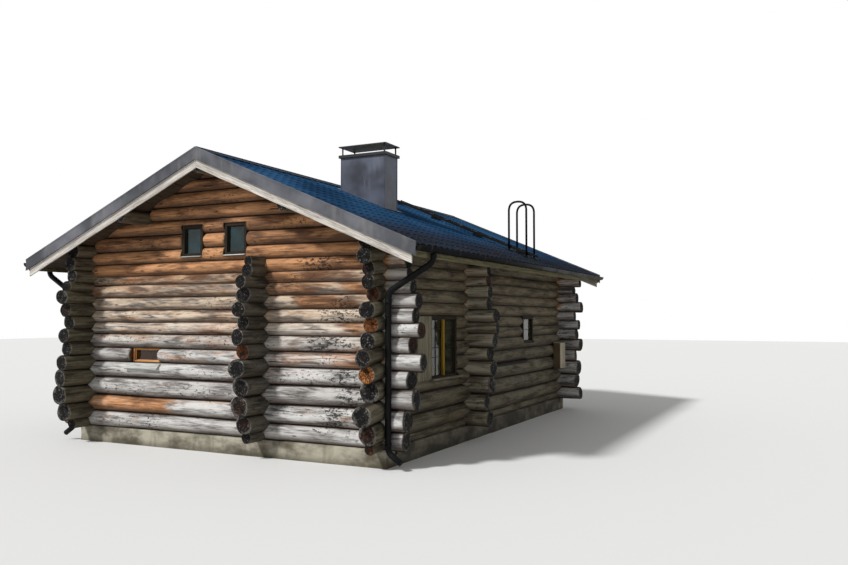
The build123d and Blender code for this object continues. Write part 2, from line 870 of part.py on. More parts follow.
# Back door, closed
with BuildPart() as back_door_frame:
    door_middle = (plinth_height + door_high) / 2
    with BuildSketch(Plane.XZ.offset(-(half_length - frame_recess))):
        with Locations((door_x, door_middle)):
            Rectangle(door_width - 2 * gap, door_high - plinth_height - 2 * gap)
        with Locations((door_x, door_middle - frame_bar)):
            Rectangle(
                door_width - 2 * gap - 2 * frame_bar, door_high - plinth_height, mode=Mode.SUBTRACT
            )
    extrude(amount=frame_depth)
finish(back_door_frame, "back_door_frame")

with BuildPart() as back_door:
    leaf_width = door_width - 2 * frame_bar - 4 * gap
    leaf_height = door_high - plinth_height - frame_bar - 3 * gap
    leaf_y = half_length - frame_recess - frame_depth / 2
    with Locations((door_x, leaf_y, plinth_height + gap + leaf_height / 2)):
        Box(leaf_width, door_thickness, leaf_height)
finish(back_door, "back_door")

# Meter cabinet on the long wall
with BuildPart() as meter_cabinet:
    cabinet_x = side_face(cabinet_z, cabinet_z + cabinet_height) + gap + cabinet_depth / 2
    with Locations((cabinet_x, cabinet_y, cabinet_z + cabinet_height / 2)):
        Box(cabinet_depth, cabinet_width, cabinet_height)
finish(meter_cabinet, "meter_cabinet")

# Two bent rails of the roof ladder, standing on the sheets on small pads
with BuildPart() as roof_ladder_hoops:
    foot_xs = (hoop_x, hoop_x + hoop_reach)
    pad_low = sheet_top + gap
    pad_high = pad_low + hoop_pad_thickness
    feet = [under(x) + (pad_low + pad_high) / 2 + hoop_radius * slope for x in foot_xs]
    crest = feet[0] + hoop_height
    for y in (hoop_y - hoop_spacing / 2, hoop_y + hoop_spacing / 2):
        inner_x, outer_x = foot_xs
        corners = [(inner_x, y, feet[0]), (inner_x, y, crest), (outer_x, y, crest), (outer_x, y, feet[1])]
        sweep_tube(bent_route(corners, hoop_bend, tube_runs), hoop_radius, tube_sides)
        near, far = y - hoop_pad / 2, y + hoop_pad / 2
        for x in foot_xs:
            slope_slab(1, x - hoop_pad / 2, x + hoop_pad / 2, pad_low, pad_high, near, far)
finish(roof_ladder_hoops, "roof_ladder_hoops")

# Roof ladder: two rails on cross feet, joined by rungs
with BuildPart() as roof_ladder:
    rail_low = sheet_top + gap + ladder_stand
    rail_high = rail_low + ladder_rail_depth
    for side in (-1, 1):
        outer = hoop_y + side * ladder_width / 2
        inner = outer - side * ladder_rail_width
        slope_slab(1, ladder_from, ladder_to, rail_low, rail_high, *sorted((outer, inner)))
    rung_count = int((ladder_to - ladder_from) / rung_pitch)
    with BuildSketch(Plane.XZ.offset(-hoop_y - ladder_width / 2 + ladder_rail_width / 2)) as rungs:
        for rung in range(rung_count):
            x = ladder_from + rung_pitch * (rung + 0.5)
            with Locations((x, under(x) + (rail_low + rail_high) / 2)):
                RegularPolygon(rung_radius, rung_sides)
    extrude(rungs.sketch, amount=ladder_width - ladder_rail_width)
    near, far = hoop_y - ladder_width / 2, hoop_y + ladder_width / 2
    for x in ladder_feet_from:
        slope_slab(1, x, x + ladder_foot, sheet_top + gap, rail_low, near, far)
finish(roof_ladder, "roof_ladder")
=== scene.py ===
# Log cabin: the finish and fine shapes of every part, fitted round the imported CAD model.
# Metres. +X is the long side with the chimney slope, -Y the sunlit gable, +Z up.
import math
import random

import bmesh
import bpy
import numpy as np
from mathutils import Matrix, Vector


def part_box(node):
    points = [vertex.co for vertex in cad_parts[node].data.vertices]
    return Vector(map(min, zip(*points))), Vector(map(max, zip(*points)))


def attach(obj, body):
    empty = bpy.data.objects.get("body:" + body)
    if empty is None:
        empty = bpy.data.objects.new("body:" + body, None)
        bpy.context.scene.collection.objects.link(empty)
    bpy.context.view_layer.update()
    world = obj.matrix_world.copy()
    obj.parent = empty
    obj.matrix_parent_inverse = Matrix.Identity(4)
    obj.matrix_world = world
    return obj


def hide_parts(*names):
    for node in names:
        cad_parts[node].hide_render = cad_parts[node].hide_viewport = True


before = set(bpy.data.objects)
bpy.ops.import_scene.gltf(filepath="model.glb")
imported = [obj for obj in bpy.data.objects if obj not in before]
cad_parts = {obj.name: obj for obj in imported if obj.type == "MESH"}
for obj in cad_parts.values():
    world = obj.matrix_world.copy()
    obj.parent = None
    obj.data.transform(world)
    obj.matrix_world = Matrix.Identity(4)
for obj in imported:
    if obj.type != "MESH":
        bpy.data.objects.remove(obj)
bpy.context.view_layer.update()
scene = bpy.context.scene
circle = 2 * math.pi
print("frame loaded,", len(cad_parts), "nodes")

# camera, light and floor
view = {
    "place": (8.247, -13.553, 2.05), "turn": 26.612, "lift": 2.456, "focal": 801.69,
    "width": 848, "film": 36,
}
camera = bpy.data.objects.new("camera", bpy.data.cameras.new("camera"))
scene.collection.objects.link(camera)
camera.location = view["place"]
camera.rotation_euler = (math.radians(90 + view["lift"]), 0, math.radians(view["turn"]))
camera.data.sensor_width = view["film"]
camera.data.sensor_fit = "HORIZONTAL"
camera.data.lens = view["film"] * view["focal"] / view["width"]
camera.data.clip_end = 200
scene.camera = camera
scene.view_settings.view_transform = "Standard"
light = {
    "sky": 0.38, "key": 3.2, "keyFrom": (-0.55, -1.0, 1.05), "keySoftness": 7,
    "floor": (0.74, 0.74, 0.73),
}


def tint(red, green, blue):
    # a colour as a screen shows it, 0 to 255, made linear
    values = [c / 255 for c in (red, green, blue)]
    return tuple([c / 12.92 if c < 0.04045 else ((c + 0.055) / 1.055) ** 2.4 for c in values]) + (1.0,)


class Wire:
    # one output of a node, with arithmetic
    def __init__(self, nodes, socket):
        self.nodes, self.socket = nodes, socket

    def maths(self, operation, *values):
        return self.nodes.node("ShaderNodeMath", {"operation": operation}, dict(enumerate(values)))

    def __add__(self, other):
        return self.maths("ADD", self, other)

    def __sub__(self, other):
        return self.maths("SUBTRACT", self, other)

    def __rsub__(self, other):
        return self.maths("SUBTRACT", other, self)

    def __mul__(self, other):
        return self.maths("MULTIPLY", self, other)

    def __abs__(self):
        return self.maths("ABSOLUTE", self)

    __radd__ = __add__
    __rmul__ = __mul__


class Nodes:
    # the node tree of a material or of the world
    def __init__(self, tree):
        self.tree = tree

    def node(self, kind, settings=None, sockets=None, output=0):
        made = self.tree.nodes.new(kind)
        for name, value in (settings or {}).items():
            setattr(made, name, value)
        for name, value in (sockets or {}).items():
            if isinstance(value, Wire):
                self.tree.links.new(value.socket, made.inputs[name])
            else:
                made.inputs[name].default_value = value
        return Wire(self, made.outputs[output])


class Finish(Nodes):
    # a material with one Principled shader, whose colour is laid on in coats
    def __init__(self, name, look, **constants):
        self.material = bpy.data.materials.new(name)
        self.material.use_nodes = True
        super().__init__(self.material.node_tree)
        self.shader = self.tree.nodes["Principled BSDF"]
        self.look = look
        for socket, value in constants.items():
            self.shader.inputs[socket.replace("_", " ")].default_value = value

    def where(self, output="Object"):
        return self.node("ShaderNodeTexCoord", output=output)

    def part(self, index, source):
        return self.node("ShaderNodeSeparateXYZ", {}, {0: source}, output=index)

    def place(self, scale, source):
        return self.node("ShaderNodeVectorMath", {"operation": "MULTIPLY"}, {0: source, 1: scale})

    def attribute(self, name, output="Fac"):
        return self.node("ShaderNodeAttribute", {"attribute_name": name}, output=output)

    def noise(self, scale, source, detail=4.0, rough=0.55, warp=0.0):
        sockets = {"Vector": self.place(scale, source), "Scale": 1.0, "Detail": detail}
        sockets.update({"Roughness": rough, "Distortion": warp})
        return self.node("ShaderNodeTexNoise", {}, sockets)

    def step(self, value, low, high):
        sockets = {0: value, 1: low, 2: high, 3: 0.0, 4: 1.0}
        return self.node("ShaderNodeMapRange", {"interpolation_type": "SMOOTHSTEP"}, sockets)

    def thin(self, value, width):
        # a line where a noise passes its middle
        return 1 - self.step(abs(value - 0.5), 0.0, width)

    def shade(self, item):
        # a colour of the look by its name, or what is one already
        return tint(*self.look[item]) if isinstance(item, str) else item

    def blend(self, share, first, second):
        sockets = {0: share, 6: self.shade(first), 7: self.shade(second)}
        return self.node("ShaderNodeMix", {"data_type": "RGBA"}, sockets, output=2)

    def coat(self, share, over):
        self.colour = self.blend(share, self.colour, over)

    def feed(self, socket, wire):
        self.tree.links.new(wire.socket, self.shader.inputs[socket])

    def close(self, height, depth, strength):
        # feeds the colour, and a relief
        self.feed("Base Color", self.colour)
        sockets = {"Height": height, "Distance": depth, "Strength": strength}
        self.feed("Normal", self.node("ShaderNodeBump", {}, sockets))
        return self


def studioSetup():
    world = bpy.data.worlds.new("studio")
    scene.world = world
    world.use_nodes = True
    nodes = Nodes(world.node_tree)
    camera, glossy, through = (nodes.node("ShaderNodeLightPath", output="Is %s Ray" % kind)
                               for kind in ("Camera", "Glossy", "Transmission"))
    seen = camera.maths("MAXIMUM", camera.maths("MAXIMUM", camera, glossy), through)
    strength = nodes.node("ShaderNodeMix", {}, {0: seen, 2: light["sky"], 3: 1.0})
    back = nodes.tree.nodes["Background"]
    nodes.tree.links.new(strength.socket, back.inputs["Strength"])
    back.inputs["Color"].default_value = (1, 1, 1, 1)

    sun = bpy.data.objects.new("keyLight", bpy.data.lights.new("keyLight", "SUN"))
    scene.collection.objects.link(sun)
    sun.data.energy = light["key"]
    sun.data.angle = math.radians(light["keySoftness"])
    sun.rotation_euler = Vector(light["keyFrom"]).to_track_quat("Z", "Y").to_euler()

    mesh = bpy.data.meshes.new("floor")
    mesh.from_pydata([(-60, -60, 0), (60, -60, 0), (60, 60, 0), (-60, 60, 0)], [], [(0, 1, 2, 3)])
    floor = bpy.data.objects.new("floor", mesh)
    scene.collection.objects.link(floor)
    finish = Finish("paleFloor", {}, Base_Color=(*light["floor"], 1), Roughness=0.9)
    mesh.materials.append(finish.material)


studioSetup()
print("studio ready")


# helpers for pieces
def addPiece(name, mesh, finishes, node=None):
    piece = bpy.data.objects.new(name, mesh)
    scene.collection.objects.link(piece)
    for finish in finishes:
        mesh.materials.append(finish.material)
    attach(piece, "root")
    if node:
        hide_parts(node)
    print(name, len(mesh.polygons), "faces")


def dressNode(node, finish):
    # gives a CAD node that stays its finish
    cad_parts[node].data.materials.clear()
    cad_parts[node].data.materials.append(finish.material)


def makeMesh(name, points, faces, grain=None, numbers=None, slots=None, smooth=None):
    mesh = bpy.data.meshes.new(name)
    mesh.from_pydata([tuple(map(float, p)) for p in points], [], faces)
    if grain:
        vectors = np.array(grain, np.float32).ravel()
        mesh.attributes.new("grain", "FLOAT_VECTOR", "POINT").data.foreach_set("vector", vectors)
        for item, values in numbers.items():
            values = np.array(values, np.float32)
            mesh.attributes.new(item, "FLOAT", "POINT").data.foreach_set("value", values)
        mesh.polygons.foreach_set("material_index", slots)
        mesh.polygons.foreach_set("use_smooth", smooth)
    return mesh


def faceOut(mesh):
    form = bmesh.new()
    form.from_mesh(mesh)
    bmesh.ops.recalc_face_normals(form, faces=form.faces)
    form.to_mesh(mesh)
    form.free()
    return mesh


def solidBoxes(node):
    # boxes round the separate solids of one CAD node
    form = bmesh.new()
    form.from_mesh(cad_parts[node].data)
    bmesh.ops.remove_doubles(form, verts=form.verts, dist=0.00003)
    boxes, seen = [], set()
    for start in form.verts:
        if start in seen:
            continue
        stack, group = [start], []
        seen.add(start)
        while stack:
            corner = stack.pop()
            group.append(corner.co[:])
            for edge in corner.link_edges:
                other = edge.other_vert(corner)
                if other not in seen:
                    seen.add(other)
                    stack.append(other)
        points = np.array(group)
        boxes.append((points.min(0), points.max(0)))
    form.free()
    return boxes


# log walls: tips give (depth, share of the radius), lumps give (turns, rate, size),
# gapes give what an open seam takes off the log above it and the log below it
logs = {
    "seat": 0.055, "sides": 24, "innerSides": 16, "ring": 0.05, "innerRing": 0.12, "seamWander": 0.014,
    "bow": 0.008, "lump": 0.006, "sag": 0.14, "roofTop": 4.436, "roofFall": 0.4245, "free": 0.1,
    "gapeFade": 0.25, "gapes": (0.008, 0.018), "flare": (-0.02, 0.07), "flareRun": 0.4, "markFade": 0.35,
    "endRings": (0.78, 0.5, 0.22), "endRough": (0.003, 0.004), "endHollow": 0.005, "clipFrom": 2.75,
    "freeTip": ((0.0, 0.93), (0.006, 0.975), (0.022, 0.995)),
    "innerTip": ((0.0, 0.86), (0.014, 0.93), (0.04, 0.985)),
    "lumps": ((2, 0.6, 1.6), (3, 1.7, 1.1), (4, 3.1, 0.8), (5, 5.2, 0.7), (7, 8.3, 0.6)),
}
loftLights = [(-0.765, -0.345, 2.98, 3.48), (0.085, 0.505, 2.98, 3.48)]
sideLights = [
    (-2.89, -1.70, 1.0894, 2.0625), (1.48, 2.08, 1.5257, 2.0625), (-3.121, -2.889, 1.0894, 2.0625, 2.868),
]
doorways = [(-0.9, -0.1, 0.25, 2.3), (1.68, 2.48, 0.25, 2.3)]
# each gives its CAD node, its run (0 along X, 1 along Y), its centre line, half its length between the
# corners (9 where it has none), a seed and its openings; an opening gives from, to, low, high and the
# face of a hewn flat
walls = {
    "frontGableLogs": ("front_gable_wall", 0, -3.935, 2.92, 11, loftLights),
    "backGableLogs": ("back_gable_wall", 0, 3.935, 2.92, 12, loftLights),
    "frontUpperLogs": ("front_gable_upper", 0, -3.935, 9, 11, loftLights),
    "backUpperLogs": ("back_gable_upper", 0, 3.935, 9, 12, loftLights),
    "rightWallLogs": ("right_wall", 1, 2.795, 4.06, 13, sideLights),
    "leftWallLogs": ("left_wall", 1, -2.795, 4.06, 14, sideLights),
    "longPartitionLogs": ("long_partition", 1, 0.8, 4.06, 15, [(1.4, 2.2, 0.25, 2.3)]),
    "crossPartitionLogs": ("cross_partition", 0, -1.19, 2.92, 16, doorways),
}
steadySeams = (0.25, 2.0625, 1.324, 1.548, 2.364, 2.91, 3.23)
# a seam that gapes: its height, from, to
openSeam = {"rightWallLogs": (1.197, -0.1, 1.85)}
# front log ends that have gone brown or orange, by the height of their middle
rotten = {
    "rightWallLogs": {0.312: 0.45, 0.509: 0.35, 1.317: 0.8, 1.965: 0.62, 2.361: 0.5, 2.723: 0.3},
    "longPartitionLogs": {0.509: 0.32, 0.785: 0.34, 1.062: 0.25, 1.548: 0.55},
    "leftWallLogs": {2.163: 0.3}, "frontGableLogs": {1.66: 0.25},
}
# marks along a wall's logs by the height of their middle: (from, to, amount)
stained = {
    "frontGableLogs": {
        0.643: [(-3.2, -0.8, 0.34), (-0.9, 2.9, -0.1)], 2.263: [(1.2, 2.7, 0.38)], 1.869: [(2.0, 2.8, 0.2)],
        1.661: [(2.1, 2.8, 0.16)], 2.062: [(0.8, 3.0, -0.25)], 2.46: [(0.8, 2.8, 0.16)],
        0.928: [(-3.0, 3.0, -0.1)], 1.198: [(-3.0, 3.0, -0.1)], 0.376: [(-3.0, 3.0, -0.1)],
        2.811: [(-1.0, 0.6, 0.15), (1.0, 2.6, 0.2)], 3.014: [(-3.0, 3.0, 0.3)]},
    "frontUpperLogs": {place: [(-3.5, 3.5, 0.25)] for place in (3.23, 3.455, 3.678, 3.896, 4.106, 4.314)},
}
sooty = {
    "frontGableLogs": {
        0.643: [(1.8, 2.45, 0.55), (0.15, 0.6, 0.4)], 0.928: [(2.0, 2.8, 0.35), (0.2, 0.6, 0.3)],
        1.198: [(1.9, 2.6, 0.3)], 1.661: [(1.4, 2.5, 0.3)], 1.436: [(1.7, 2.2, 0.3)],
        2.062: [(1.6, 2.8, 0.25)], 2.263: [(1.9, 2.5, 0.35)], 2.811: [(1.4, 2.3, 0.3)]},
}
# a brown end beside the sauna window: where it is, and how far gone
saunaEnd = {"place": -1.84, "decay": 0.62}


def marksAt(table, name, level, s):
    total, fade = 0.0, logs["markFade"]
    for place, spans in table.get(name, {}).items():
        if abs(place - level) < 0.03:
            for start, end, amount in spans:
                total += amount * min(1, max(0, (s - start) / fade)) * min(1, max(0, (end - s) / fade))
    return total


def seamWave(seed, level, along):
    # how a seam wanders up and down along its wall
    if any(abs(level - steady) < 0.004 for steady in steadySeams):
        return np.zeros_like(along)
    pick = random.Random(seed * 1000 + round(level * 100))
    wave = pick.uniform(-1, 1) * logs["seamWander"] * along / 4
    for reach in (0.5, 1.1, 2.3):
        size = pick.uniform(0.2, 0.5) * logs["seamWander"] / (0.6 + reach)
        wave = wave + size * np.sin(reach * along + pick.uniform(0, 6.28))
    return wave


def growLog(name, box, number, fine):
    # one log, with the values that its finish reads
    _, along, line, half, seed, _ = walls[name]
    pick = random.Random(seed * 100 + number)
    low, high = box
    start, end = low[along], high[along]
    count = max(3, int((end - start) / logs["ring" if fine else "innerRing"]))
    sides = logs["sides" if fine else "innerSides"]
    places = list(np.linspace(start, end, count + 1)[1:-1])
    shrink = [1.0] * len(places)
    free = [abs(edge) > half + logs["free"] for edge in (start, end)]
    for tip, edge, sign in ((0, start, 1), (1, end, -1)):
        for depth, share in logs["freeTip" if free[tip] else "innerTip"]:
            places.append(edge + sign * depth)
            shrink.append(share)
    order = np.argsort(places)
    spots, shrink = np.array(places)[order], np.array(shrink)[order]
    level = (low[2] + high[2]) / 2
    seamAt, seamFrom, seamTo = openSeam.get(name, (-1, 0, 0))
    fade = logs["gapeFade"]
    gape = np.clip((spots - seamFrom) / fade, 0, 1) * np.clip((seamTo - spots) / fade, 0, 1)
    gapes = [gape * (abs(edge[2] - seamAt) < 0.004) for edge in box]
    bottom = low[2] + seamWave(seed, low[2], spots) + logs["gapes"][0] * gapes[0]
    top = high[2] + seamWave(seed, high[2], spots) - logs["gapes"][1] * gapes[1]
    past = np.abs(spots) - half
    sag = np.clip(past - 0.1, 0, 1) * logs["sag"] * (name == "rightWallLogs") * (spots < 0)
    middle = (bottom + top) / 2 - sag
    flare = pick.uniform(*logs["flare"]) * np.clip((past - 0.02) / logs["flareRun"], 0, 1)
    reach = np.sqrt(((top - bottom) / 2) ** 2 + logs["seat"] ** 2) * shrink * (1 + flare)
    drift = logs["bow"] * np.sin(spots * pick.uniform(0.5, 0.9) + pick.uniform(0, 6.28))
    angles = np.linspace(0, circle, sides, endpoint=False)
    lumps = np.ones((len(spots), sides))
    for turns, rate, size in logs["lumps"]:
        phase, spin, lag = pick.uniform(0, 6.28), pick.uniform(-1, 1) * rate, pick.uniform(0, 6.28)
        swirl = np.sin(turns * angles[None, :] + spin * spots[:, None] + phase)
        lumps += size * logs["lump"] / 0.12 * 0.5 * swirl * np.sin(rate * spots[:, None] * 1.3 + lag)
    radii = reach[:, None] * lumps
    across, rise = radii * np.cos(angles) + drift[:, None], radii * np.sin(angles)
    tilt = [pick.uniform(-0.12, 0.12), pick.uniform(-0.1, 0.1)]
    shift = pick.uniform(-40, 40)
    marked = [amount for place, amount in rotten.get(name, {}).items() if abs(place - level) < 0.06]
    decay = [marked[0] if marked and start < -half else 0.1, 0.4 * (pick.random() < 0.07)]
    if name == "frontGableLogs" and abs(end - saunaEnd["place"]) < 0.03:
        decay[1] = saunaEnd["decay"]
    spread = np.repeat(spots[:, None], sides, 1)
    for tip, edge in ((0, start), (1, end)):
        if free[tip]:
            near = np.abs(spots - edge) < 0.03
            spread[near] += tilt[0] * across[near] + tilt[1] * rise[near]
    points, faces, grain = [], [], []
    values = {item: [] for item in ("seam", "rot", "bare", "warm", "soot")}

    def add(s, c, z, i, gapeAt):
        points.append((s, line + c, middle[i] + z) if along == 0 else (line + c, s, middle[i] + z))
        grain.append((s + shift, c, z))
        values["rot"].append(decay[0] if s < (start + end) / 2 else decay[1])
        values["bare"].append(min(1.0, max(0.0, (abs(s) - half + 0.06) / 0.12)))
        values["warm"].append(marksAt(stained, name, level, s))
        values["soot"].append(marksAt(sooty, name, level, s))
        # the seam value rises toward where this log meets the next, and more at an open seam; the finish
        # paints shade with it
        height, wider = abs(z) / max(reach[i], 0.01), 0.2 * gapes[0 if z < 0 else 1][gapeAt]
        values["seam"].append(max(0.0, min(1.0, (height - 0.72 + wider) / 0.18)))

    for i in range(len(spots)):
        for j in range(sides):
            add(spread[i, j], across[i, j], rise[i, j], i, i)
    for i in range(len(spots) - 1):
        for j in range(sides):
            k = (j + 1) % sides
            a, b, c, d = i * sides + j, i * sides + k, (i + 1) * sides + k, (i + 1) * sides + j
            faces.append((a, b, c, d) if along == 0 else (a, d, c, b))
    sideFaces = len(faces)
    for tip, i, sign in ((0, 0, -1), (1, len(spots) - 1, 1)):
        ring = [i * sides + j for j in range(sides)]
        way = 1 if (sign > 0) == (along == 0) else -1
        for share in logs["endRings"]:
            fresh = list(range(len(points), len(points) + sides))
            for j in range(sides):
                c, z = drift[i] + (across[i, j] - drift[i]) * share, rise[i, j] * share
                s = spots[i] + (tilt[0] * c + tilt[1] * z if free[tip] else 0)
                add(s - sign * (logs["endRough"][0] + logs["endRough"][1] * pick.random()), c, z, i, 0)
            for j in range(sides):
                k = (j + 1) % sides
                faces.append((ring[j], ring[k], fresh[k], fresh[j])[::way])
            ring = fresh
        add(spots[i] - sign * logs["endHollow"], drift[i], 0.0, i, 0)
        faces += [(ring[j], ring[(j + 1) % sides], len(points) - 1)[::way] for j in range(sides)]
    values["tone"] = [pick.random()] * len(points)
    slots = [0] * sideFaces + [1] * (len(faces) - sideFaces)
    return makeMesh(name, points, faces, grain, values, slots, [True] * len(faces))


def cutOpening(mesh, low, high, axis):
    # takes a box out of a log, and returns the new mesh
    form = bmesh.new()
    bmesh.ops.create_cube(form, size=1)
    for corner in form.verts:
        corner.co = [low[i] if corner.co[i] < 0 else high[i] for i in range(3)]
    block = bpy.data.meshes.new("cutter")
    form.to_mesh(block)
    form.free()
    block.materials.append(None)
    holder, cutter = (bpy.data.objects.new(*pair) for pair in (("cutHolder", mesh), ("cutter", block)))
    scene.collection.objects.link(holder)
    scene.collection.objects.link(cutter)
    tool = holder.modifiers.new("cut", "BOOLEAN")
    tool.object, tool.operation, tool.solver = cutter, "DIFFERENCE", "EXACT"
    depsgraph = bpy.context.evaluated_depsgraph_get()
    result = bpy.data.meshes.new_from_object(holder.evaluated_get(depsgraph))
    bpy.data.objects.remove(holder)
    bpy.data.objects.remove(cutter)
    for face in result.polygons:
        spots = [result.vertices[i].co[axis] for i in face.vertices]
        if any(max(abs(s - plane) for s in spots) < 0.00002 for plane in (low[axis], high[axis])):
            face.material_index = 1
            face.use_smooth = False
    return result


def clipToRoof(form):
    # takes off what stands above the roof slopes
    for side in (-1, 1):
        normal = Vector((side * logs["roofFall"], 0, 1)).normalized()
        geometry = form.verts[:] + form.edges[:] + form.faces[:]
        place = (0, 0, logs["roofTop"])
        cut = bmesh.ops.bisect_plane(form, geom=geometry, plane_co=place, plane_no=normal, clear_outer=True)
        edges = [item for item in cut["geom_cut"] if isinstance(item, bmesh.types.BMEdge)]
        bmesh.ops.holes_fill(form, edges=edges, sides=0)


def buildWall(name, finishes):
    node, along, line, half, _, openings = walls[name]
    whole = bmesh.new()
    boxes = sorted(solidBoxes(node), key=lambda b: (round(b[0][2], 3), b[0][along]))
    inside = name in ("longPartitionLogs", "crossPartitionLogs")
    for number, (low, high) in enumerate(boxes):
        standsOut = max(abs(low[along]), abs(high[along])) > half
        mesh = growLog(name, (low, high), number, standsOut or not inside)
        for start, end, bottom, top, *inner in openings:
            beside = min(end, high[along]) - max(start, low[along]) > 0.004
            if beside and min(top, high[2]) - max(bottom, low[2]) > 0.004:
                faces = (line - 0.3, line + 0.3)
                if inner:
                    faces = sorted((math.copysign(inner[0], line), math.copysign(3.3, line)))
                spans = ((start, end), faces) if along == 0 else (faces, (start, end))
                mesh = cutOpening(
                    mesh, *([span[i] for span in spans] + [(bottom, top)[i]] for i in (0, 1)), along)
        form = bmesh.new()
        form.from_mesh(mesh)
        if high[2] > logs["clipFrom"]:
            clipToRoof(form)
        form.to_mesh(mesh)
        form.free()
        whole.from_mesh(mesh)
        bpy.data.meshes.remove(mesh)
    joined = bpy.data.meshes.new(name)
    whole.to_mesh(joined)
    whole.free()
    addPiece(name, joined, finishes, node)


def weatheredLog(name, look):
    finish = Finish(name, look, Roughness=0.8, Specular_IOR_Level=0.25)
    grain = finish.attribute("grain", "Vector")
    tone, seam, bare, stain, soot = (
        finish.attribute(item) for item in ("tone", "seam", "bare", "warm", "soot"))
    height, normal = finish.part(2, finish.where()), finish.where("Normal")
    aside, upward = finish.part(0, normal), finish.part(2, normal)
    fibre = finish.noise((1.5, 40, 40), grain, 5, 0.65, 0.3)
    fine = finish.noise((7, 150, 150), grain, 3, 0.6)
    cloud = finish.noise((1.5, 7.5, 7.5), grain, 5, 0.62, 0.5)
    patch = finish.noise((0.9, 4.5, 4.5), grain, 4, 0.65, 0.6)
    worn = cloud * 0.52 + fibre * 0.3 + fine * 0.18
    sunned = finish.blend(finish.step(height - bare, 1.4, 2.3) * look["honeyShare"], "silver", "honey")
    silver = finish.blend(finish.step(worn, 0.4, 0.57), "ash", sunned)
    warm = finish.blend(finish.step(worn + tone * 0.08 - 0.04, 0.42, 0.62), "umber", "rust")
    warmth = patch * 1.5 + finish.step(height, 1.7, 3.5) * look["topWarmth"] + tone * look["toneWarmth"]
    warmth = warmth - look["coolness"] - bare * 0.4 + stain
    finish.colour = finish.blend(finish.step(warmth, 0.0, 0.42), silver, warm)
    finish.coat((1 - tone) * 0.24, "bark")
    # painted shade along the seams between the logs, in umber
    finish.coat(finish.step(seam + cloud * 0.5 - 0.25, 0.0, 0.7) * look["edge"], "umber")
    # painted shade on the logs' undersides, laid on as the brown of less weathered wood
    finish.coat(finish.step(cloud * 0.5 - upward - 0.25, 0.1, 0.75) * look["below"], "bark")
    specks = finish.step(finish.noise((16, 30, 30), grain, 4, 0.75) + soot * 0.22, 0.56, 0.63)
    broad = finish.noise((0.45, 1.4, 1.4), grain, 2)
    specks = specks * finish.step(broad + cloud * 0.4 + soot, 0.68, 0.82)
    finish.coat(specks * look["stain"], "char")
    crack = finish.thin(finish.noise((0.5, 8, 8), grain, 2, 0.5, 0.2), 0.01)
    crack = crack * finish.step(finish.noise((1.3, 3, 3), grain, 2), 0.53, 0.6)
    finish.coat(crack * 0.75, "char")
    sockets = {"Vector": finish.place((1.7, 6, 6), grain), "Scale": 1.0, "Randomness": 1.0}
    knot = 1 - finish.step(finish.node("ShaderNodeTexVoronoi", {}, sockets), 0.05, 0.11)
    finish.coat(knot * 0.75, "knot")
    # painted shade on the flanks that face +X, and less on those that face -X, laid on as an olive moss tint
    mossAndShadeTint = finish.blend(finish.step(worn, 0.36, 0.66), "mossAndShadeDeep", "mossAndShade")
    shaded = finish.step(aside, 0.15, 0.6) + finish.step(0 - aside, 0.3, 0.8) * 0.45
    finish.coat(shaded * look["mossAndShadeShare"], mossAndShadeTint)
    # painted shade, deepest in the seams between the logs
    finish.coat(finish.step(seam, 0.4, 0.85) * look["seamDark"], "char")
    relief = fibre * 0.5 + fine * 0.22 + cloud * 0.7 - crack * 1.1 - knot * 0.4 - specks * 0.25
    return finish.close(relief, 0.014, 0.9)


def cutEnd(name, look):
    finish = Finish(name, look, Roughness=0.88, Specular_IOR_Level=0.2)
    grain, rot = finish.attribute("grain", "Vector"), finish.attribute("rot")
    flat = finish.place((0, 1, 1), grain)
    radius = finish.node("ShaderNodeVectorMath", {"operation": "LENGTH"}, {0: flat}, output="Value")
    wobble = finish.noise((3, 11, 11), grain, 3)
    rings = finish.node("ShaderNodeMath", {"operation": "SINE"}, {0: radius * 900 + wobble * 22})
    heading = finish.node("ShaderNodeVectorMath", {"operation": "NORMALIZE"}, {0: flat})
    sockets = {0: heading, 1: finish.place((0.3, 0.6, 0.6), grain)}
    heading = finish.node("ShaderNodeVectorMath", {"operation": "ADD"}, sockets)
    split = finish.thin(finish.noise((1, 3.4, 3.4), heading, 4, 0.7), 0.035)
    blotch = finish.noise((2, 14, 14), grain, 4, 0.65)
    flake = finish.noise((6, 42, 42), grain, 4, 0.75)
    finish.colour = finish.blend(finish.step(blotch, 0.42, 0.68), "dark", "grey")
    finish.coat(finish.step(flake + blotch * 0.3, 0.74, 0.8) * 0.85, "pale")
    rusty = finish.blend(finish.step(flake, 0.42, 0.62) * finish.step(rot, 0.5, 0.75), "rot", "glow")
    hollow = finish.step(blotch + wobble * 0.6 - radius * 1.5, 0.72, 0.8)
    rusty = finish.blend(hollow * 0.9, rusty, "char")
    finish.coat(finish.step(rot + blotch * 0.9 - 0.45 - radius * 1.2, 0.15, 0.5), rusty)
    finish.coat(finish.step(rings, 0.2, 1.0) * 0.3, "char")
    finish.coat(split * 0.85, "char")
    rim = finish.step(radius + blotch * 0.03, 0.105, 0.135)
    finish.coat(rim * finish.step(wobble, 0.4, 0.6) * 0.35, "pale")
    return finish.close(blotch * 0.6 + flake * 0.3 + rings * 0.12 - split * 1.2, 0.014, 0.9)


logColours = {
    "silver": (212, 210, 207), "honey": (230, 205, 174), "ash": (92, 90, 88), "rust": (206, 150, 104),
    "umber": (98, 66, 44), "char": (26, 22, 19), "knot": (66, 44, 34), "mossAndShade": (76, 69, 49),
    "mossAndShadeDeep": (32, 27, 18), "bark": (72, 54, 42), "stain": 0.9, "seamDark": 0.95, "edge": 0.6, "below": 0.7,
    "mossAndShadeShare": 0.88, "honeyShare": 0.85, "topWarmth": 0.6, "toneWarmth": 0.2, "coolness": 0.81,
}
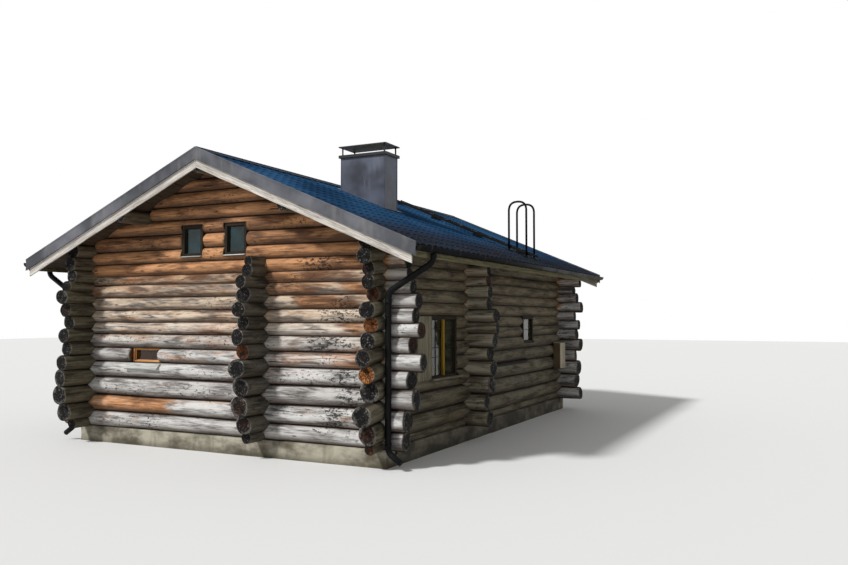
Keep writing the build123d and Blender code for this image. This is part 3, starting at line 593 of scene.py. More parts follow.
# shadeColours is logColours with painted shade, greyer, darker and more olive, for the walls that stand in
# shade
shadeColours = dict(
    logColours, silver=(176, 170, 150), ash=(80, 74, 60), rust=(140, 106, 70), umber=(70, 52, 36),
    mossAndShade=(88, 81, 60), mossAndShadeDeep=(38, 33, 23), mossAndShadeShare=0.8, topWarmth=0.3, coolness=0.95)
endColours = {
    "dark": (19, 17, 17), "grey": (44, 42, 41), "pale": (156, 152, 146), "rot": (104, 58, 30),
    "glow": (222, 146, 80), "char": (14, 12, 11),
}
sunlitLog, shadedLog = weatheredLog("sunlitLog", logColours), weatheredLog("shadedLog", shadeColours)
logEnd = cutEnd("logEnd", endColours)
for name in walls:
    # the side walls and the cross partition get the log finish with painted shade
    shady = name in ("rightWallLogs", "leftWallLogs", "crossPartitionLogs")
    buildWall(name, [shadedLog if shady else sunlitLog, logEnd])
print("log walls ready")


class Shape:
    # gathers the points and faces of one piece, with the grain that its finish reads
    def __init__(self, seed):
        self.points, self.faces, self.grain, self.tone, self.slots, self.smooth = [], [], [], [], [], []
        self.pick = random.Random(seed)

    def face(self, corners, slot=0, smooth=False):
        self.faces.append(corners)
        self.slots.append(slot)
        self.smooth.append(smooth)

    def loft(self, rings, grains=None, slot=0, smooth=False, caps=True, tone=None):
        # skin over rings with the same number of points
        base, count = len(self.points), len(rings[0])
        tone = self.pick.random() if tone is None else tone
        for ring, grain in zip(rings, grains or rings):
            self.points += [tuple(point) for point in ring]
            self.grain += [tuple(point) for point in grain]
            self.tone += [tone] * count
        last = base + (len(rings) - 1) * count
        for start in range(base, last, count):
            for k in range(count):
                a, b = start + k, start + (k + 1) % count
                self.face((a, b, b + count, a + count), slot, smooth)
        if caps:
            self.face(tuple(range(base, base + count))[::-1], slot)
            self.face(tuple(range(last, last + count)), slot)

    def bar(self, start, end, width, depth, up=(0, 0, 1), bevel=0.003, cuts=1, wobble=0.0, slot=0):
        # a bar with eased edges, width across and depth along "up"
        start, end = Vector(start), Vector(end)
        length = (end - start).length
        forward = (end - start) / length
        side = forward.cross(Vector(up)).normalized()
        rise = side.cross(forward)
        w, d, b = width / 2, depth / 2, min(bevel, width / 2.2, depth / 2.2)
        outline = [
            (b - w, -d), (w - b, -d), (w, b - d), (w, d - b),
            (w - b, d), (b - w, d), (-w, d - b), (-w, b - d)]
        stops = [(0.0, b), (b, 0.0)] + [(length * i / cuts, 0.0) for i in range(1, cuts)]
        shift = self.pick.uniform(-30, 30)
        waves = [(self.pick.uniform(0.6, 5), self.pick.uniform(0, 6.28)) for _ in range(4)]
        rings, grains = [], []
        for t, inset in stops + [(length - b, 0.0), (length, b)]:
            sway = [wobble * math.sin(rate * t + phase) for rate, phase in waves]
            shrinkW, shrinkD = (w - inset) / w, (d - inset) / d
            ring = []
            for x, y in outline:
                across = x * shrinkW + sway[0] + sway[2 if x > 0 else 3] * 0.6
                ring.append(start + forward * t + side * across + rise * (y * shrinkD + sway[1] * 0.4))
            rings.append(ring)
            grains.append([(t + shift, x, y) for x, y in outline])
        self.loft(rings, grains, slot)

    def board(self, axis, level, start, end, width, depth, bevel=0.003, **more):
        # a bar whose depth lies along axis 0 or 1, with its middle at one level there
        ends = [(level, u, z) if axis == 0 else (u, level, z) for u, z in (start, end)]
        self.bar(*ends, width, depth, (1 - axis, axis, 0), bevel, **more)

    def tube(self, route, radius, sides=20, slot=0, caps=True):
        # a round tube along a route of points, with one radius or one for each point
        route = [Vector(p) for p in route]
        sizes = radius if isinstance(radius, list) else [radius] * len(route)
        angles = [circle * k / sides for k in range(sides)]
        first = (route[1] - route[0]).normalized()
        side = first.orthogonal().normalized()
        rings, grains, run = [], [], 0.0
        for i, (point, size) in enumerate(zip(route, sizes)):
            before = (point - route[i - 1]).normalized() if i else first
            after = (route[i + 1] - point).normalized() if i + 1 < len(route) else before
            heading = (before + after).normalized()
            side = (side - heading * side.dot(heading)).normalized()
            rise = heading.cross(side)
            stretch = 1 / max(0.5, before.dot(heading))
            run += (point - route[i - 1]).length if i else 0
            rings.append([point + (side * math.cos(a) + rise * math.sin(a)) * size * stretch for a in angles])
            grains.append([(run, math.cos(a) * size, math.sin(a) * size) for a in angles])
        self.loft(rings, grains, slot, smooth=True, caps=caps)

    def stud(self, spot, way, radius, sides, slot=0):
        # a short tube that stands on a spot
        self.tube([spot, Vector(spot) + Vector(way)], radius, sides, slot)

    def piece(self, name, finishes, node=None):
        mesh = makeMesh(
            name, self.points, self.faces, self.grain, {"tone": self.tone}, self.slots, self.smooth)
        addPiece(name, faceOut(mesh), finishes, node)


def rounded(corners, bend, runs):
    # a route whose corners are rounded
    corners = [Vector(c) for c in corners]
    route = [corners[0]]
    for before, middle, after in zip(corners, corners[1:], corners[2:]):
        start = middle + (before - middle).normalized() * bend
        end = middle + (after - middle).normalized() * bend
        for run in range(runs + 1):
            t = run / runs
            route.append(start * (1 - t) ** 2 + middle * 2 * t * (1 - t) + end * t ** 2)
    return route + [corners[-1]]


def steps(start, end, cuts):
    return [start + (end - start) * k / cuts for k in range(cuts + 1)]


# finishes
def paintedMetal(name, look):
    finish = Finish(name, look, Specular_IOR_Level=look.get("shine", 0.4))
    place = finish.where()
    cloud = finish.noise((1.3, 1.3, 1.3), place, 3)
    streak = finish.noise((6, 6, 1.2), place, 4, 0.6)
    speck = finish.noise((70, 70, 70), place, 3, 0.6)
    finish.colour = finish.blend(finish.step(cloud, 0.35, 0.68), "deep", "light")
    finish.coat(finish.step(streak, 0.52, 0.74) * look.get("dirt", 0.3), "dust")
    finish.coat(finish.step(speck, 0.62, 0.7) * look.get("specks", 0.2), "dust")
    finish.feed("Roughness", finish.step(cloud, 0.2, 0.8) * 0.2 + look.get("rough", 0.35))
    return finish.close(cloud + speck * 0.04, look.get("dents", 0.01), 0.5)


def greyBoard(name, look):
    finish = Finish(name, look, Roughness=0.85, Specular_IOR_Level=0.2)
    grain, tone = finish.attribute("grain", "Vector"), finish.attribute("tone")
    fibre = finish.noise((2.2, 60, 60), grain, 5, 0.65, 0.5)
    patch = finish.noise((1.6, 7, 7), grain, 4, 0.65)
    split = finish.thin(finish.noise((0.9, 24, 24), grain, 2), 0.02)
    finish.colour = finish.blend(finish.step(fibre, 0.34, 0.66), "deep", "light")
    finish.coat(finish.step(patch, 0.54, 0.7) * look["wear"], "stain")
    finish.coat(tone * 0.25, "deep")
    finish.coat(split * 0.5, "stain")
    return finish.close(fibre * 0.6 - split * 0.8, 0.004, 0.8)


def roughPlaster(name, look):
    finish = Finish(name, look, Roughness=0.9, Specular_IOR_Level=0.2)
    place = finish.where()
    cloud = finish.noise((1.6, 1.6, 3.0), place, 5, 0.6)
    grit = finish.noise((45, 45, 45), place, 4, 0.7)
    drip = finish.noise((7, 7, 1.0), place, 4, 0.6)
    low = 1 - finish.step(finish.part(2, place) + cloud * 0.12, 0.06, 0.2)
    finish.colour = finish.blend(finish.step(cloud, 0.36, 0.64), "deep", "light")
    finish.coat(finish.step(drip, 0.5, 0.72) * 0.4, "stain")
    finish.coat(low * look["foot"], "stain")
    finish.coat(finish.step(grit, 0.58, 0.7) * 0.35, "stain")
    return finish.close(grit * 0.35 + cloud, look["depth"], 0.8)


print("finishes ready")

# roof: both slopes are measured out from the ridge, and upright from the underside of the boards
bothSides = ((1, "right"), (-1, "left"))
bothEnds = ((-1, "front"), (1, "back"))
roof = {
    "under": 4.406, "fall": 0.42447, "deckRise": 0.10864, "gap": 0.0003, "sheetRise": 0.02717,
    "halfLength": 4.5895, "eave": 3.645, "deck": 3.58, "board": 0.118, "wave": 0.183, "row": 0.27,
    "waveHeight": 0.0155, "nose": 0.0085, "base": 0.001, "rowSteps": (0.0, 0.3, 0.62, 0.86, 0.955, 1.0),
    "stepsPerWave": 8, "deep": (28, 53, 80), "light": (50, 89, 127), "shade": (7, 12, 20),
    "litter": (33, 31, 30), "needle": (80, 66, 48),
}
roof["run"] = math.hypot(1, roof["fall"])


def slopePoint(side, out, y, lift=0.0):
    return (side * out, y, roof["under"] - abs(out) * roof["fall"] + lift)


def tileSheets(side, name, node, finish):
    # wave and step sheets, closed underneath
    run, reach = roof["run"], roof["eave"] * roof["run"]
    rows = math.ceil(reach / roof["row"])
    outs, noses = [0.0], [0.0]
    for row in range(rows):
        for share in roof["rowSteps"]:
            place = reach - (rows - row) * roof["row"] + share * roof["row"]
            if place > 0:
                outs.append(place / run)
                noses.append(share ** 1.4 * roof["nose"])
    count = int(2 * roof["halfLength"] / roof["wave"] * roof["stepsPerWave"])
    ys = np.linspace(-roof["halfLength"], roof["halfLength"], count + 1)
    swell = ((1 + np.cos(circle * ys / roof["wave"])) / 2) ** 0.75
    base = roof["deckRise"] + roof["gap"]
    points = []
    for out, nose in zip(outs, noses):
        for y, rise in zip(ys, swell):
            lift = roof["base"] + rise * roof["waveHeight"] + nose * (0.55 + 0.45 * rise)
            points.append(slopePoint(side, out, y, base + lift * run))
    wide, last = len(ys), len(outs) - 1
    spots = [a for i in range(last) for a in range(i * wide, (i + 1) * wide - 1)]
    faces = [(a, a + wide, a + wide + 1, a + 1)[::side] for a in spots]
    rim = list(range(wide)) + [i * wide + wide - 1 for i in range(1, last + 1)]
    rim += [last * wide + j for j in range(wide - 2, -1, -1)] + [i * wide for i in range(last - 1, 0, -1)]
    lower, count = len(points), len(rim)
    points += [slopePoint(1, *points[i][:2], base) for i in rim]
    for k in range(count):
        after = (k + 1) % count
        faces.append((rim[k], rim[after], lower + after, lower + k)[::side])
    faces.append(tuple(range(lower, lower + count))[::side])
    addPiece(name, faceOut(makeMesh(name, points, faces)), [finish], node)


def tileFinish():
    finish = Finish("slateBlueSheet", roof, Specular_IOR_Level=0.0)
    place = finish.where()
    reach, along = abs(finish.part(0, place)), finish.part(1, place)
    cloud = finish.noise((0.8, 0.8, 0.8), place, 4)
    speck = finish.noise((28, 28, 28), place, 4, 0.75)
    finish.colour = finish.blend(finish.step(cloud, 0.28, 0.76), "deep", "light")
    # shade and dirt gather between the waves, below each row's nose
    rows = (roof["eave"] - reach) * (roof["run"] / roof["row"])
    rows = rows.maths("FRACT", rows)
    hollow = rows.maths("COSINE", along * (circle / roof["wave"]))
    finish.coat(finish.step(0 - hollow, -0.5, 0.6) * (finish.step(rows, 0.5, 0.92) * 0.74 + 0.16), "shade")
    grime = finish.step(reach + cloud * 1.6 - 0.8, 2.0, 3.4)
    finish.coat(grime * 0.8, "litter")
    finish.coat(finish.step(speck, 0.53, 0.62) * grime * 0.7, "needle")
    finish.feed("Roughness", grime * 0.3 + cloud * 0.2 + 0.42)
    return finish.close(speck * grime + cloud * 0.15, 0.004, 0.6)


sheetFinish = tileFinish()
for side, word in bothSides:
    tileSheets(side, "roofTiles" + word.title(), "roof_sheets_" + word, sheetFinish)

# the boards' dark brown holds painted shade under the eaves, over their own weathered colour
soffit = {
    "runs": ((-4.589, -1.2), (-1.198, 1.9), (1.902, 4.589)), "play": 0.0003, "edge": 0.0005, "ease": 0.007,
    "easeRise": 0.008, "deep": (46, 38, 29), "light": (86, 70, 54), "stain": (28, 23, 19), "wear": 0.5,
}
soffitBoard = greyBoard("soffitBoard", soffit)
for side, word in bothSides:
    boards = Shape(31 + side)
    count = round(roof["deck"] / roof["board"])
    inners = steps(soffit["play"], roof["deck"] - soffit["play"], count)
    for inner, outer in zip(inners, inners[1:]):
        left, right, top = inner + soffit["edge"], outer - soffit["edge"], roof["deckRise"]
        outline = (
            (left, soffit["easeRise"]), (inner + soffit["ease"], 0), (outer - soffit["ease"], 0),
            (right, soffit["easeRise"]), (right, top), (left, top))
        for ends in soffit["runs"]:
            shift = boards.pick.uniform(-20, 20)
            rings = [[slopePoint(side, out, y, lift) for out, lift in outline] for y in ends]
            boards.loft(rings, [[(y + shift, out, lift) for out, lift in outline] for y in ends])
    boards.piece("roofBoards" + word.title(), [soffitBoard], "roof_deck_" + word)

ridge = {
    "joints": (-4.5895, -2.65, -0.65, 1.35, 3.2, 4.5895), "lap": 0.034, "lapRise": 0.0012, "lift": 0.0045,
    "outs": (0.014, 0.028, 0.05, 0.1, 0.146, 0.15), "bead": 0.016, "beadOut": 0.032, "hem": 0.004,
    "studs": 24, "studPitch": 0.387, "deep": (16, 25, 38), "light": (28, 42, 60), "dust": (66, 65, 62),
    "dirt": 0.2, "shine": 0.04, "rough": 0.5,
}
cap = Shape(5)
capLow = roof["deckRise"] + roof["gap"] * 2 + roof["sheetRise"]
for number, (near, far) in enumerate(zip(ridge["joints"], ridge["joints"][1:])):
    far += ridge["lap"] if far < 4 else 0
    rings = []
    for y, grow in ((near, 0), (near + 0.004, 0.001), (far - 0.004, 0.001), (far, 0)):
        ring = []
        for out in [-out for out in ridge["outs"][::-1]] + [0, *ridge["outs"]]:
            bead = ridge["bead"] * math.cos(min(1, abs(out) / ridge["beadOut"]) * math.pi / 2)
            drop = ridge["hem"] if abs(out) == ridge["outs"][-1] else 0
            lift = ridge["lift"] + ridge["lapRise"] * (number % 2) + bead + grow - drop
            ring.append(slopePoint(1, out, y, capLow + lift))
        rings.append(
            ring + [slopePoint(1, out, y, capLow) for out in (ridge["outs"][-1], 0, -ridge["outs"][-1])])
    cap.loft(rings)
for side in (-1, 1):
    normal = Vector((side * roof["fall"], 0, 1)).normalized()
    for k in range(ridge["studs"]):
        cap.stud(
            slopePoint(side, 0.125, -4.45 + k * ridge["studPitch"], capLow + 0.006),
            normal * 0.0045, 0.007, 8)
cap.piece("ridgeCap", [paintedMetal("slateTrim", ridge)], "ridge_cap")

# rakes and eaves
barge = {
    "top": 0.15121, "low": -0.0389, "face": 4.6194, "back": 4.5898, "cuts": 14, "sway": 0.0012,
    "lengths": ((0.0003, 1.9, 0.0008), (1.88, 3.645, 0.0)), "studs": 9, "studPitch": 0.42,
    "deep": (50, 52, 58), "light": (98, 99, 105), "dust": (128, 124, 118), "dirt": 0.35, "rough": 0.38,
}
rake = {
    "low": -0.16295, "face": 4.5885, "back": 4.5645, "top": -0.001, "end": 3.579, "cuts": 40,
    "deep": (168, 162, 154), "light": (218, 212, 204), "stain": (116, 108, 100), "wear": 0.55,
}
greyMetal, paleBoard = paintedMetal("greyRakeMetal", barge), greyBoard("paleRakeBoard", rake)
for side, word in bothEnds:
    trim, top, low = Shape(40 + side), barge["top"], barge["low"]
    for slope in (-1, 1):
        for inner, outer, proud in barge["lengths"]:
            rings = []
            for out in steps(inner, outer, barge["cuts"]):
                back, sway = barge["back"], barge["sway"] * math.sin(out * 4.1 + slope) - barge["sway"]
                face = barge["face"] - 0.0015 + proud + sway
                outline = (
                    (back, top - 0.002), (back, low + 0.003), (face + 0.001, low),
                    (face + 0.001, low + 0.012), (face - 0.004, low + 0.016), (face - 0.004, top - 0.03),
                    (face, top - 0.026), (face, top - 0.003), (face - 0.003, top))
                rings.append([slopePoint(slope, out, side * y, lift) for y, lift in outline])
            trim.loft(rings)
        for k in range(barge["studs"]):
            for lift in (top - 0.05, low + 0.03):
                spot = slopePoint(slope, 0.2 + k * barge["studPitch"], side * (barge["face"] - 0.0065), lift)
                trim.stud(spot, (0, side * 0.004, 0), 0.006, 8)
    trim.piece(word + "BargeMetal", [greyMetal], word + "_bargeboards")

board = Shape(50)
for side in (-1, 1):
    for slope in (-1, 1):
        rings, grains = [], []
        shift = board.pick.uniform(-9, 9)
        for out in steps(0.0003, rake["end"], rake["cuts"]):
            ragged = 0.0016 * math.sin(out * 7 + slope) + 0.0012 * math.sin(out * 19 + 2 * slope)
            low, back, face = rake["low"] + ragged, rake["back"], rake["face"]
            outline = (
                (back, rake["top"]), (back, low + 0.004), (back + 0.004, low + 0.002),
                (face - 0.004, low + 0.002), (face, low + 0.006), (face, rake["top"]))
            rings.append([slopePoint(slope, out, side * y, lift) for y, lift in outline])
            grains.append([(out * roof["run"] + shift, y * 0.3, lift) for y, lift in outline])
        board.loft(rings, grains)
board.piece("rakeBoards", [paleBoard], "rake_boards")

fasciaLook = {
    "deep": (80, 76, 54), "light": (122, 116, 86), "stain": (58, 48, 32), "wear": 0.4,
    "joints": (-1.6, 1.5),
}
fascia = Shape(60)
for low, high in solidBoxes("fascia_boards"):
    (x, _, z), (first, second) = (low + high) / 2, fasciaLook["joints"]
    for start, end in ((low[1], first), (first + 0.002, second), (second + 0.002, high[1])):
        fascia.bar((x, start, z), (x, end, z), high[0] - low[0], high[2] - low[2], cuts=12)
fascia.piece("fasciaBoards", [greyBoard("oliveFascia", fasciaLook)], "fascia_boards")

gutter = {
    "x": 3.6703, "top": 2.94715, "radius": 0.065, "wall": 0.003, "half": 4.5895, "bead": 0.006,
    "hookFrom": -4.3, "hooks": 0.9, "hookWide": 0.025, "hookThick": 0.0032, "plate": 0.004,
    "deep": (7, 7, 8), "light": (15, 16, 17), "dust": (44, 41, 36), "dirt": 0.14, "rough": 0.45,
    "shine": 0.1, "specks": 0.08,
}
blackMetal = paintedMetal("blackGutter", gutter)
for side, word in bothSides:
    trough, half, plate = Shape(70 + side), gutter["half"], gutter["plate"]
    centre, top, outer = side * gutter["x"], gutter["top"], gutter["radius"] - 0.0035

    def band(near, far, radius, inner=0, smooth=False):
        # a half round band, or a plate where it has no inner radius
        angles = [math.pi + math.pi * k / 18 for k in range(19)]
        turns = [(radius, a) for a in angles] + [(inner, a) for a in angles[::-1] if inner]
        rings = [
            [(centre + r * math.cos(a), y, top + r * math.sin(a)) for r, a in turns] for y in (near, far)]
        trough.loft(rings, smooth=smooth)

    band(-half, half, outer, outer - gutter["wall"], True)
    for y in (-half, half - plate):
        band(y, y + plate, outer + 0.002)
    rim = centre + side * (outer - gutter["bead"] + 0.002)
    trough.tube([(rim, plate - half, top - 0.001), (rim, half - plate, top - 0.001)], gutter["bead"], 12)
    for y in np.arange(gutter["hookFrom"], half - 0.05, gutter["hooks"]):
        band(y - gutter["hookWide"] / 2, y + gutter["hookWide"] / 2, outer + gutter["hookThick"], outer)
        start, end = (
            (centre - side * outer, y, top - 0.004), (centre + side * (outer - 0.004), y, top - 0.002))
        trough.bar(start, end, gutter["hookWide"], 0.003, bevel=0.0008)
    trough.piece("gutter" + word.title(), [blackMetal], "gutter_" + word)

spout = {
    "radius": 0.0425, "bend": 0.085, "neckFrom": 0.11, "neckTo": 0.5, "foot": 0.24, "shoeOut": 0.2,
    "shoeLow": 0.11, "sleeve": 0.003, "wall": -4.02, "clips": (2.05, 1.0), "clipHigh": 0.025,
    "clipBar": 0.012,
}
for side, word in bothSides:
    low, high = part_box("downspout_" + word)
    pipe, radius = Shape(80 + side), spout["radius"]
    x, y = side * (min(abs(low[0]), abs(high[0])) + radius), (low[1] + high[1]) / 2
    outlet, top = side * gutter["x"], gutter["top"] - gutter["radius"] - 0.0003
    corners = [
        (outlet, top), (outlet, top - spout["neckFrom"]), (x, top - spout["neckTo"]), (x, spout["foot"])]
    corners.append((x + side * spout["shoeOut"], spout["shoeLow"]))
    pipe.tube(rounded([(at, y, z) for at, z in corners], spout["bend"], 8), radius, 24)
    for at, start, end in ((outlet, top, top - 0.05), (x, top - 0.6, top - 0.66), (x, 0.36, 0.3)):
        pipe.tube([(at, y, start), (at, y, end)], radius + spout["sleeve"], 24)
    for z in spout["clips"]:
        pipe.tube([(x, y, z), (x, y, z + spout["clipHigh"])], radius + 0.004, 24)
        z += spout["clipHigh"] / 2
        start, end = (x, y + radius + 0.0015, z), (x, spout["wall"], z)
        pipe.bar(start, end, spout["clipBar"], spout["clipBar"], bevel=0.002)
    pipe.piece("downspout" + word.title(), [blackMetal], "downspout_" + word)
print("roof, gutters and pipes ready")

# chimney
low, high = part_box("chimney_cladding")
# the sheet's wide spread of blotches from deep to light is painted dappled light and shade
stack = {
    "left": 0.49, "right": 1.39, "front": -1.4, "back": -0.95, "top": high[2], "sheet": 0.008,
    "flashing": 0.06, "flashingHigh": 0.006, "post": 0.014, "deep": (30, 33, 42), "light": (82, 88, 104),
    "dust": (116, 118, 130), "dirt": 0.4, "rough": 0.32, "dents": 0.02,
}
capLook = {
    "tall": 0.03, "edge": 0.018, "slope": 0.22, "legIn": 0.02, "leg": (0.03, 0.005), "pad": 0.04,
    "padHigh": 0.004, "deep": (13, 14, 16), "light": (28, 29, 33), "dust": (62, 60, 58), "dirt": 0.2,
    "shine": 0.3,
}
chimney = Shape(90)


def ringAt(x0, x1, y0, y1, z0, z1):
    return [(x0, y0, z0), (x1, y0, z1), (x1, y1, z1), (x0, y1, z0)]


def roofTop(x, lift=0.0):
    return slopePoint(1, x, 0, capLow + lift)[2]


def roundStack(out, wide, top):
    # four sheets round the stack, from the roof up
    left, right, front, back = stack["left"] - out, stack["right"] + out, stack["front"], stack["back"]
    for span in (
        (left, right, front - out, front - out + wide), (left, right, back + out - wide, back + out),
        (left, left + wide, front, back), (right - wide, right, front, back),
    ):
        chimney.loft([
            ringAt(*span, roofTop(span[0]), roofTop(span[1])), ringAt(*span, top(span[0]), top(span[1]))])


roundStack(0, stack["sheet"], lambda x: stack["top"])
for y in (stack["front"], stack["back"]):
    for x in (stack["left"], stack["right"]):
        start, end = (y, roofTop(x, 0.004)), (y, stack["top"] - 0.001)
        chimney.board(0, x, start, end, stack["post"], stack["post"], 0.004)
roundStack(stack["flashing"], stack["flashing"], lambda x: roofTop(x, stack["flashingHigh"]))
chimney.piece("chimneySheet", [paintedMetal("charcoalSheet", stack)], "chimney_cladding")

darkMetal = paintedMetal("darkCapMetal", capLook)
low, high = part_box("chimney_cap")
rainCap, plate, foot = Shape(91), high[2] - capLook["tall"], low[2]
rainCap.loft([
    ringAt(low[0] + inset, high[0] - inset, low[1] + inset, high[1] - inset, z, z)
    for inset, z in ((0, plate), (0, plate + capLook["edge"]), (capLook["slope"], high[2]))])
for x in (stack["left"] + capLook["legIn"], stack["right"] - capLook["legIn"]):
    for y in (stack["front"] + capLook["legIn"], stack["back"] - capLook["legIn"]):
        rainCap.board(1, y, (x, foot), (x, plate + 0.002), *capLook["leg"], 0.001)
        rainCap.board(1, y, (x, foot), (x, foot + capLook["padHigh"]), capLook["pad"], capLook["pad"], 0.0015)
rainCap.piece("rainCap", [darkMetal], "chimney_cap")
dressNode("chimney_crown", darkMetal)

# plinth
gableFoot = {
    "deep": (92, 87, 74), "light": (166, 160, 144), "stain": (66, 61, 46), "foot": 0.65, "depth": 0.012,
}
sideFoot = {
    "deep": (66, 63, 55), "light": (116, 111, 98), "stain": (46, 43, 36), "foot": 0.5, "depth": 0.03,
}
plinth = {
    "face": 0.006, "ledge": 0.25, "inside": 0.33, "ledgeHigh": 0.15,
    "outline": (
        (0, 0), (0.5, 0), (1, 0), (1, 0.3), (1, 0.62), (1, 0.9),
        (0.96, 1), (0.5, 1), (0.04, 1), (0, 0.9), (0, 0.62), (0, 0.3)),
}


def lumpyBox(shape, low, high, spacing, lump, axis):
    # a strip whose faces are slightly uneven, flat at the foot
    cuts, other = max(2, int((high[axis] - low[axis]) / spacing)), 1 - axis
    waves = [
        (shape.pick.uniform(1, 9), shape.pick.uniform(0, 6.28), shape.pick.uniform(3, 16)) for _ in range(6)]
    rings = []
    for s in steps(low[axis], high[axis], cuts):
        ring = []
        for a, b in plinth["outline"]:
            push = lump * sum(math.sin(rate * s + phase + b * tilt) for rate, phase, tilt in waves) / 4
            c = low[other] + (high[other] - low[other]) * a + (push if a in (0, 1) else 0)
            z = low[2] + (high[2] - low[2]) * b
            ring.append((s, c, z) if axis == 0 else (c, s, z))
        rings.append(ring)
    shape.loft(rings)


plaster, stone = roughPlaster("palePlaster", gableFoot), roughPlaster("darkPlinth", sideFoot)
for word, axis, finish, lump in (("Gables", 0, plaster, 0.004), ("Sides", 1, stone, 0.007)):
    strip, other, node = Shape(100 + axis), 1 - axis, "foundation_" + word.lower()
    for low, high in solidBoxes(node):
        sign = 1 if low[other] > 0 else -1
        face = high[other] if sign > 0 else low[other]
        for near, far, top, spacing, uneven in (
            (plinth["face"], plinth["ledge"], high[2], 0.06, lump),
            (plinth["ledge"], plinth["inside"], plinth["ledgeHigh"], 0.5, 0.0),
        ):
            a, b = low.copy(), high.copy()
            a[other], b[other] = sorted((face - sign * near, face - sign * far))
            b[2] = top
            lumpyBox(strip, a, b, spacing, uneven, axis)
    strip.piece("plinth" + word, [finish], node)
print("plinth and chimney ready")

# windows: an opening gives (along, height of its middle, width, height, lights, thin bars),
# and a thin bar gives (light, upright, share)
windows = {
    "bar": 0.05, "slimBar": 0.022, "deep": 0.09, "pane": -0.045, "glass": 0.008, "bead": 0.012, "thin": 0.009,
    "fit": 0.0003, "sideFace": 2.9, "gableFace": 4.04, "saunaFace": 3.975,
    "side": (
        (-2.18, 1.57595, 0.96, 0.9731, 2, (
            (0, True, 1 / 2), (0, False, 1 / 6), (0, False, 1 / 2), (0, False, 2 / 3), (1, False, 1 / 2))),
        (1.78, 1.7941, 0.6, 0.5368, 1, ((0, False, 1 / 2),))),
    "loft": ((-0.555, 3.23, 0.42, 0.5, 1, ()), (0.295, 3.23, 0.42, 0.5, 1, ())),
    "sauna": (-1.55, 1.436, 0.58, 0.224, 1, ()),
    "sillEnds": (-0.2, -0.198, 0.198, 0.2),
    "loftSill": (
        (-0.2495, 0.0), (-0.232, 0.0), (-0.238, 0.03), (-0.247, 0.046), (-0.2515, 0.046), (-0.243, 0.03)),
}


def fitWindow(frames, panes, axis, sign, face, opening):
    # a frame with beads both sides of its panes, its thin bars and its glass
    look, (along, up, width, height, count, thinBars) = windows, opening

    def place(u, v, w):
        # a place on the wall's face: across, up and outwards
        u, w = along + u, sign * (face + w)
        return Vector((w, u, up + v) if axis == 0 else (u, w, up + v))

    def rail(shape, start, end, w, width, depth, bevel, **more):
        shape.bar(
            place(*start, w), place(*end, w), width, depth, place(0, 0, 1) - place(0, 0, 0), bevel, **more)

    bar, fit, bead, thin = look["slimBar" if height < 0.3 else "bar"], look["fit"], look["bead"], look["thin"]
    wide, high = (width - 2 * fit - (count + 1) * bar) / count, height - 2 * fit - 2 * bar
    centres = [(wide + bar) * (k - (count - 1) / 2) for k in range(count)]
    half, tall, deep, middle = width / 2 - fit, height / 2 - fit, look["deep"], -look["deep"] / 2
    for u in (bar / 2 - half, half - bar / 2):
        rail(frames, (u, -tall), (u, tall), middle, bar, deep, 0.004, cuts=4, wobble=0.0004)
    for v in (bar / 2 - tall, tall - bar / 2):
        rail(frames, (bar - half, v), (half - bar, v), middle, bar, deep, 0.003)
    for u in [(a + b) / 2 for a, b in zip(centres, centres[1:])]:
        rail(frames, (u, bar - tall), (u, tall - bar), middle, bar, deep, 0.005, slot=1)
    for centre in centres:
        left, right = centre - wide / 2 + bead, centre + wide / 2 - bead
        for w in (look["pane"] + bead / 2 + 0.0002, look["pane"] - look["glass"] - bead / 2 - 0.0002):
            for side in (-1, 1):
                u, v = centre + side * (wide - bead) / 2, side * (high - bead) / 2
                rail(frames, (u, -high / 2), (u, high / 2), w, bead, bead, 0.003)
                rail(frames, (left, v), (right, v), w, bead, bead, 0.003)
        w, v = look["pane"] - look["glass"] / 2, high / 2 - fit
        rail(panes, (centre, -v), (centre, v), w, wide - 2 * fit, look["glass"], 0.0012)
    for light, upright, share in thinBars:
        centre, w = centres[light], look["pane"] + thin / 2 + 0.0002
        u, v = centre + (share - 0.5) * wide, high * (0.5 - share)
        ends = ((centre - wide / 2 + bead, v), (centre + wide / 2 - bead, v))
        if upright:
            ends = ((u, bead - high / 2), (u, high / 2 - bead))
        rail(frames, *ends, w, thin, thin, 0.002)
    return place


def windowGlass(name, look):
    finish = Finish(name, look, Transmission_Weight=look["clear"], IOR=1.45, Specular_IOR_Level=0.5)
    cloud = finish.noise((3, 3, 3), finish.where(), 3)
    dust = finish.noise((30, 30, 9), finish.where(), 4, 0.7)
    finish.colour = finish.blend(finish.step(cloud, 0.35, 0.65), "deep", "light")
    finish.coat(finish.step(dust, 0.55, 0.8) * 0.3, "dust")
    finish.feed("Roughness", finish.step(dust, 0.5, 0.8) * 0.25 + 0.03)
    return finish.close(cloud, 0.0015, 0.25)


# darkFrame is darker than its stained wood, with painted shade for the recessed window frames
frameLooks = {
    "darkFrame": {"deep": (27, 22, 16), "light": (50, 40, 29), "stain": (17, 14, 11), "wear": 0.3},
    "ochreMullion": {"deep": (118, 90, 20), "light": (162, 128, 36), "stain": (78, 58, 20), "wear": 0.2},
    "orangePineFrame": {
        "deep": (176, 116, 62), "light": (232, 182, 122), "stain": (112, 68, 34), "wear": 0.25},
}
glassLooks = {
    "roomGlass": {"clear": 0.8, "deep": (70, 76, 62), "light": (112, 114, 92), "dust": (126, 121, 104)},
    "loftGlass": {"clear": 0.55, "deep": (8, 36, 33), "light": (24, 68, 74), "dust": (100, 122, 120)},
    "saunaGlass": {"clear": 0.6, "deep": (58, 34, 18), "light": (112, 74, 36), "dust": (140, 116, 84)},
}
loftSill = {"deep": (164, 166, 162), "light": (206, 208, 202), "dust": (120, 118, 108), "dirt": 0.35}
darkFrame, ochreBar, pineFrame = (greyBoard(name, look) for name, look in frameLooks.items())
